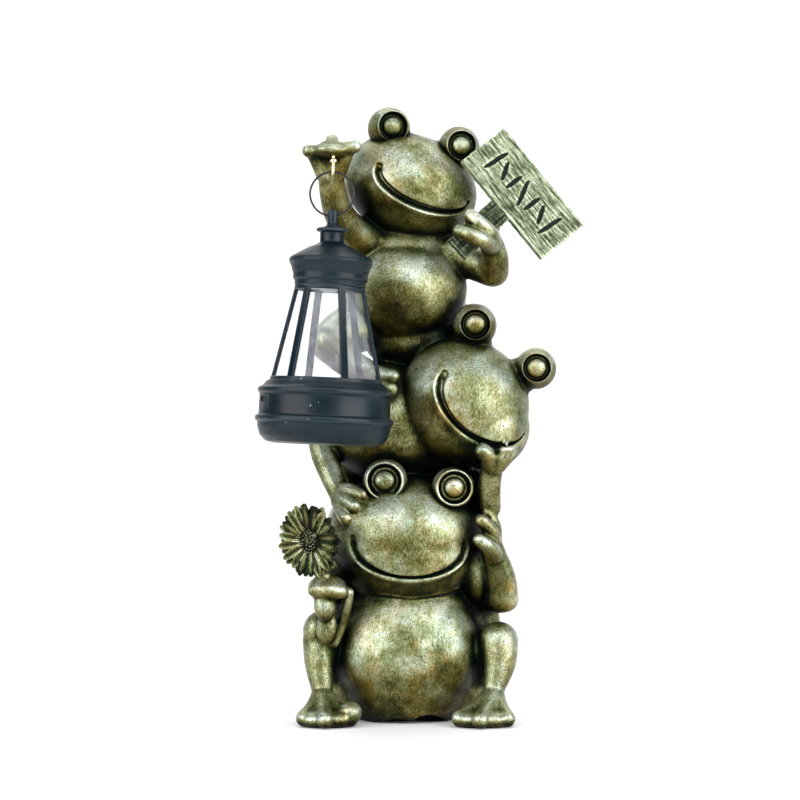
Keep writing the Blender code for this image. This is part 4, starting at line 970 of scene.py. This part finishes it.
# The cage that holds the liner: two rings and six square posts with rounded edges, moulded in one
# in the same plastic as the drum and the cap.
CAGE_BAR = (2.2, 4.4)
BAR_ROUND = 0.45


def pane_radius(height):
    """The cage's outer radius at this height."""
    share = (height - PANE_FOOT) / (PANE_TOP - PANE_FOOT)
    return PANE_FOOT_RADIUS + (PANE_TOP_RADIUS - PANE_FOOT_RADIUS) * share


cage = turned("lantern_cage_posts", (
    (pane_radius(PANE_FOOT) - 2.0, PANE_FOOT), (pane_radius(PANE_FOOT), PANE_FOOT),
    (pane_radius(PANE_FOOT) - 0.1, PANE_FOOT + 1.6), (pane_radius(PANE_FOOT) - 0.5, PANE_FOOT + 2.0),
    (pane_radius(PANE_FOOT) - 2.4, PANE_FOOT + 2.0)), LANTERN_SIDES, closed=True)
upper = turned("upper_ring", (
    (pane_radius(PANE_TOP) - 1.6, PANE_TOP - 2.0), (pane_radius(PANE_TOP) + 0.2, PANE_TOP - 2.0),
    (pane_radius(PANE_TOP) + 0.4, PANE_TOP - 1.6), (pane_radius(PANE_TOP) + 0.2, PANE_TOP),
    (pane_radius(PANE_TOP) - 2.0, PANE_TOP)), LANTERN_SIDES, closed=True)
cut(cage, upper, "UNION")
lean = math.atan2(PANE_FOOT_RADIUS - PANE_TOP_RADIUS, PANE_TOP - PANE_FOOT)
post_length = (PANE_TOP - PANE_FOOT - 1.0) / math.cos(lean)
post_reach = (pane_radius(PANE_FOOT) + pane_radius(PANE_TOP)) / 2 - CAGE_BAR[0] / 2
for k in range(CAGE_POSTS):
    bar = bmesh.new()
    stand = (Matrix.Rotation(math.radians(CAGE_FIRST_POST + 360.0 / CAGE_POSTS * k), 4, "Z")
             @ Matrix.Translation((post_reach, 0.0, (PANE_TOP + PANE_FOOT) / 2))
             @ Matrix.Rotation(-lean, 4, "Y"))
    bmesh.ops.create_cube(bar, size=1.0, matrix=stand @ Matrix.Diagonal((*CAGE_BAR, post_length, 1.0)))
    long_edges = [e for e in bar.edges if e.calc_length() > post_length / 2]
    bmesh.ops.bevel(bar, geom=long_edges, offset=BAR_ROUND, segments=3, affect="EDGES", profile=0.5)
    cut(cage, finished("bar", bar), "UNION")
cage.data.set_sharp_from_angle(angle=math.radians(35.0))
mark_raised(cage, 0, 0.5)
lantern_piece(cage, "lantern_cage", slate)


# The liner: one cone of clear moulded polycarbonate inside the cage, open at both ends, and the
# clear lens of the light under the cap.
LINER_WALL = 1.2
LINER_INSET = 2.7


# Clear polycarbonate from a polished mould: glossy, a little hazy in places, with a cool cast.
def clear_plastic(name, tint, alpha):
    made, tree, shader = new_finish(name)
    place = node(tree, "TexCoord", out="Object")
    haze = node(tree, "TexNoise", {"Vector": place, "Scale": grain(9.09), "Detail": 3.0, "Roughness": 0.6})
    hazy = node(tree, "MapRange", {0: haze, 1: 0.3, 2: 0.7})
    colour = node(tree, "Mix", {0: hazy, 6: paint(tint), 7: paint("f2f2fa")}, 2, data_type="RGBA")
    set_inputs(tree, shader, {
        "Base Color": colour,
        "Roughness": node(tree, "MapRange", {0: haze, 1: 0.3, 2: 0.7, 3: 0.04, 4: 0.12}),
        "IOR": 1.58,
        "Alpha": alpha})
    return made


foot, top = PANE_FOOT + GAP, PANE_TOP - GAP
outer_foot = pane_radius(foot) - LINER_INSET
outer_top = pane_radius(top) - LINER_INSET
liner = turned("lantern_liner", (
    (outer_foot - LINER_WALL, foot), (outer_foot, foot), (outer_top, top), (outer_top - LINER_WALL, top)),
    LANTERN_SIDES, closed=True)
liner_finish = clear_plastic("clear_polycarbonate", "5f6c78", 0.1)
lantern_piece(liner, "lantern_panes", liner_finish)
lens = turned("lantern_light_lens", rounded_profile((
    (0.0, 92.7), (4.0, 93.1), (7.2, 94.7), (8.5, 97.1), (8.5, 98.7), (0.0, 98.7)), 0.8), 64)
lantern_piece(lens, "lantern_lens", clear_plastic("clear_lens_plastic", "dfe6ee", 0.62))


# The hanging ring: a closed ring of thin steel wire, bent round a bar, welded and dipped in black
# enamel. It goes through the cap's stub and over the hook.
RING_WIRE = 0.65
RING_WIRE_SIDES = 12


# Drawn wire with a thin bright or black coat: smooth and glossy, and rubbed through here and there.
def wire_finish(name, colour, worn, metallic, roughness):
    made, tree, shader = new_finish(name)
    place = node(tree, "TexCoord", out="Object")
    wear = node(tree, "TexNoise", {"Vector": place, "Scale": grain(1.61), "Detail": 4.0, "Roughness": 0.65})
    rubbed = node(tree, "MapRange", {0: wear, 1: 0.56, 2: 0.7})
    blended = node(tree, "Mix", {0: rubbed, 6: paint(colour), 7: paint(worn)}, 2, data_type="RGBA")
    shine = {0: wear, 1: 0.3, 2: 0.7, 3: roughness - 0.06, 4: roughness + 0.1}
    set_inputs(tree, shader, {
        "Base Color": blended,
        "Roughness": node(tree, "MapRange", shine),
        "Metallic": metallic,
        "Normal": node(tree, "Bump", {"Strength": 0.2, "Distance": 0.05 * MM, "Height": wear})})
    return made


wire = [(RING_RADIUS + RING_WIRE * math.cos(a), RING_WIRE * math.sin(a))
        for a in np.arange(RING_WIRE_SIDES) * 2 * math.pi / RING_WIRE_SIDES]
ring = turned("wire_ring", wire, 96, closed=True, sharp=80.0)
ring.data.transform(Matrix.Translation(Vector(RING_CENTRE) * MM) @ Matrix.Rotation(math.pi / 2, 4, "X"))
ring.data.materials.append(wire_finish("black_enamel_on_steel_wire", "14171b", "3a3f45", 0.3, 0.32))
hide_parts("hanging_ring")
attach(ring, "root")


# The hook: thick brass-plated wire let into the top frog's palm, bent forward and up under the
# ring, with a small collar where it goes in.
HOOK_X = -45.6
HOOK_WIRE = 1.0
HOOK_BEND = 3.2
HOOK_TOP = 355.7
COLLAR_RADIUS = 2.3
COLLAR_FOOT = 348.0
COLLAR_TOP = 349.8

ring_y = RING_CENTRE[1]
shank_y = ring_y + HOOK_BEND
bend_z = RING_CENTRE[2] + RING_RADIUS - RING_WIRE - GAP - HOOK_WIRE + HOOK_BEND
route = [(shank_y, HOOK_TOP), (shank_y, 349.0), (shank_y, bend_z + 3.0)]
for angle in np.arange(13) * math.pi / 12:
    route.append((ring_y + HOOK_BEND * math.cos(angle), bend_z - HOOK_BEND * math.sin(angle)))
route.append((ring_y - HOOK_BEND, bend_z + 2.2))
hook_mesh = bmesh.new()
limb(hook_mesh, [(HOOK_X, y, z, HOOK_WIRE) for y, z in route], sides=16, steps=3, tip_rings=2)
hook = finished("brass_hook", hook_mesh)
collar = turned("collar", rounded_profile((
    (0.0, COLLAR_FOOT), (COLLAR_RADIUS, COLLAR_FOOT), (COLLAR_RADIUS, COLLAR_TOP),
    (0.0, COLLAR_TOP)), 0.4), 32)
collar.data.transform(Matrix.Translation(Vector((HOOK_X, shank_y, 0.0)) * MM))
cut(hook, collar, "UNION")
hook.data.materials.append(wire_finish("brass_plated_wire", "e2d2a4", "a98c54", 1.0, 0.24))
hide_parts("lantern_hook")
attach(hook, "root")


# Stage: a pale sweep of paper that curves up behind, large soft lights at both sides of the front,
# one each above the camera and the statue, and one that washes the paper behind.
SWEEP_HALF_WIDTH = 3.5
SWEEP_FRONT = -2.6
SWEEP_BACK = 1.1
SWEEP_BEND = 0.9
SWEEP_TOP = 4.0

sweep = bmesh.new()
outline = [(SWEEP_FRONT, 0.0), (SWEEP_BACK, 0.0)]
for angle in np.radians(np.linspace(6, 90, 15)):
    outline.append((SWEEP_BACK + SWEEP_BEND * math.sin(angle), SWEEP_BEND - SWEEP_BEND * math.cos(angle)))
outline.append((SWEEP_BACK + SWEEP_BEND, SWEEP_TOP))
left = [sweep.verts.new((-SWEEP_HALF_WIDTH, y, z)) for y, z in outline]
right = [sweep.verts.new((SWEEP_HALF_WIDTH, y, z)) for y, z in outline]
for k in range(len(outline) - 1):
    sweep.faces.new((left[k], right[k], right[k + 1], left[k + 1]))
floor = finished("paper_sweep", sweep, scale=1.0)
# Matt coated paper with a faint tooth of 3 mm
paper, tree, shader = new_finish("pale_paper")
place = node(tree, "TexCoord", out="Object")
shade = node(tree, "TexNoise", {"Vector": place, "Scale": grain(3.03), "Detail": 3.0})
tone = node(tree, "Mix", {0: shade, 6: paint("f4f4f4"), 7: paint("f8f8f8")}, 2, data_type="RGBA")
set_inputs(tree, shader, {"Base Color": tone, "Roughness": 0.9})
floor.data.materials.append(paper)

world = bpy.data.worlds.new("studio")
world.use_nodes = True
backdrop = world.node_tree.nodes["Background"]
set_inputs(world.node_tree, backdrop, {"Color": paint("dfe6ee"), "Strength": 0.06})
bpy.context.scene.world = world


def softbox(name, place, target, size, power):
    """A white light of this size and power in watts, aimed at the target."""
    light = bpy.data.lights.new(name, "AREA")
    light.shape = "RECTANGLE"
    light.size, light.size_y = size
    light.energy = power
    made = bpy.data.objects.new(name, light)
    made.location = place
    made.rotation_euler = (Vector(target) - Vector(place)).to_track_quat("-Z", "Y").to_euler()
    bpy.context.scene.collection.objects.link(made)


softbox("left_softbox", (-1.2, -1.0, 0.48), (0, 0, 0.2), (1.5, 1.2), 25)
softbox("right_softbox", (1.2, -1.0, 0.48), (0, 0, 0.2), (1.5, 1.2), 31)
softbox("front_softbox", (0.0, -1.35, 1.1), (0, 0, 0.2), (1.8, 0.8), 12)
softbox("top_softbox", (0.0, 0.1, 2.0), (0, 0.1, 0.0), (2.4, 1.8), 18)
softbox("back_wash", (0.0, 0.9, 2.4), (0, 1.9, 0.5), (2.6, 0.6), 30)

# The camera is level. In the photograph's pixels: its width, how many a metre spans at one metre,
# and how far its middle lies to the side of the lens axis and above it
PHOTO_WIDTH = 800
FOCAL_PIXELS = 2181
SHIFT_PIXELS = (-8, 43)
CAMERA_DISTANCE = 1.4
CAMERA_HEIGHT = 0.1765

camera_data = bpy.data.cameras.new("camera")
camera_data.sensor_width = 36.0
camera_data.lens = FOCAL_PIXELS / PHOTO_WIDTH * camera_data.sensor_width
camera_data.shift_x = SHIFT_PIXELS[0] / PHOTO_WIDTH
camera_data.shift_y = SHIFT_PIXELS[1] / PHOTO_WIDTH
camera = bpy.data.objects.new("camera", camera_data)
camera.location = (0.0, -CAMERA_DISTANCE, CAMERA_HEIGHT)
camera.rotation_euler = (math.radians(90.0), 0.0, 0.0)
bpy.context.scene.collection.objects.link(camera)
bpy.context.scene.camera = camera
bpy.context.scene.view_settings.view_transform = "Standard"
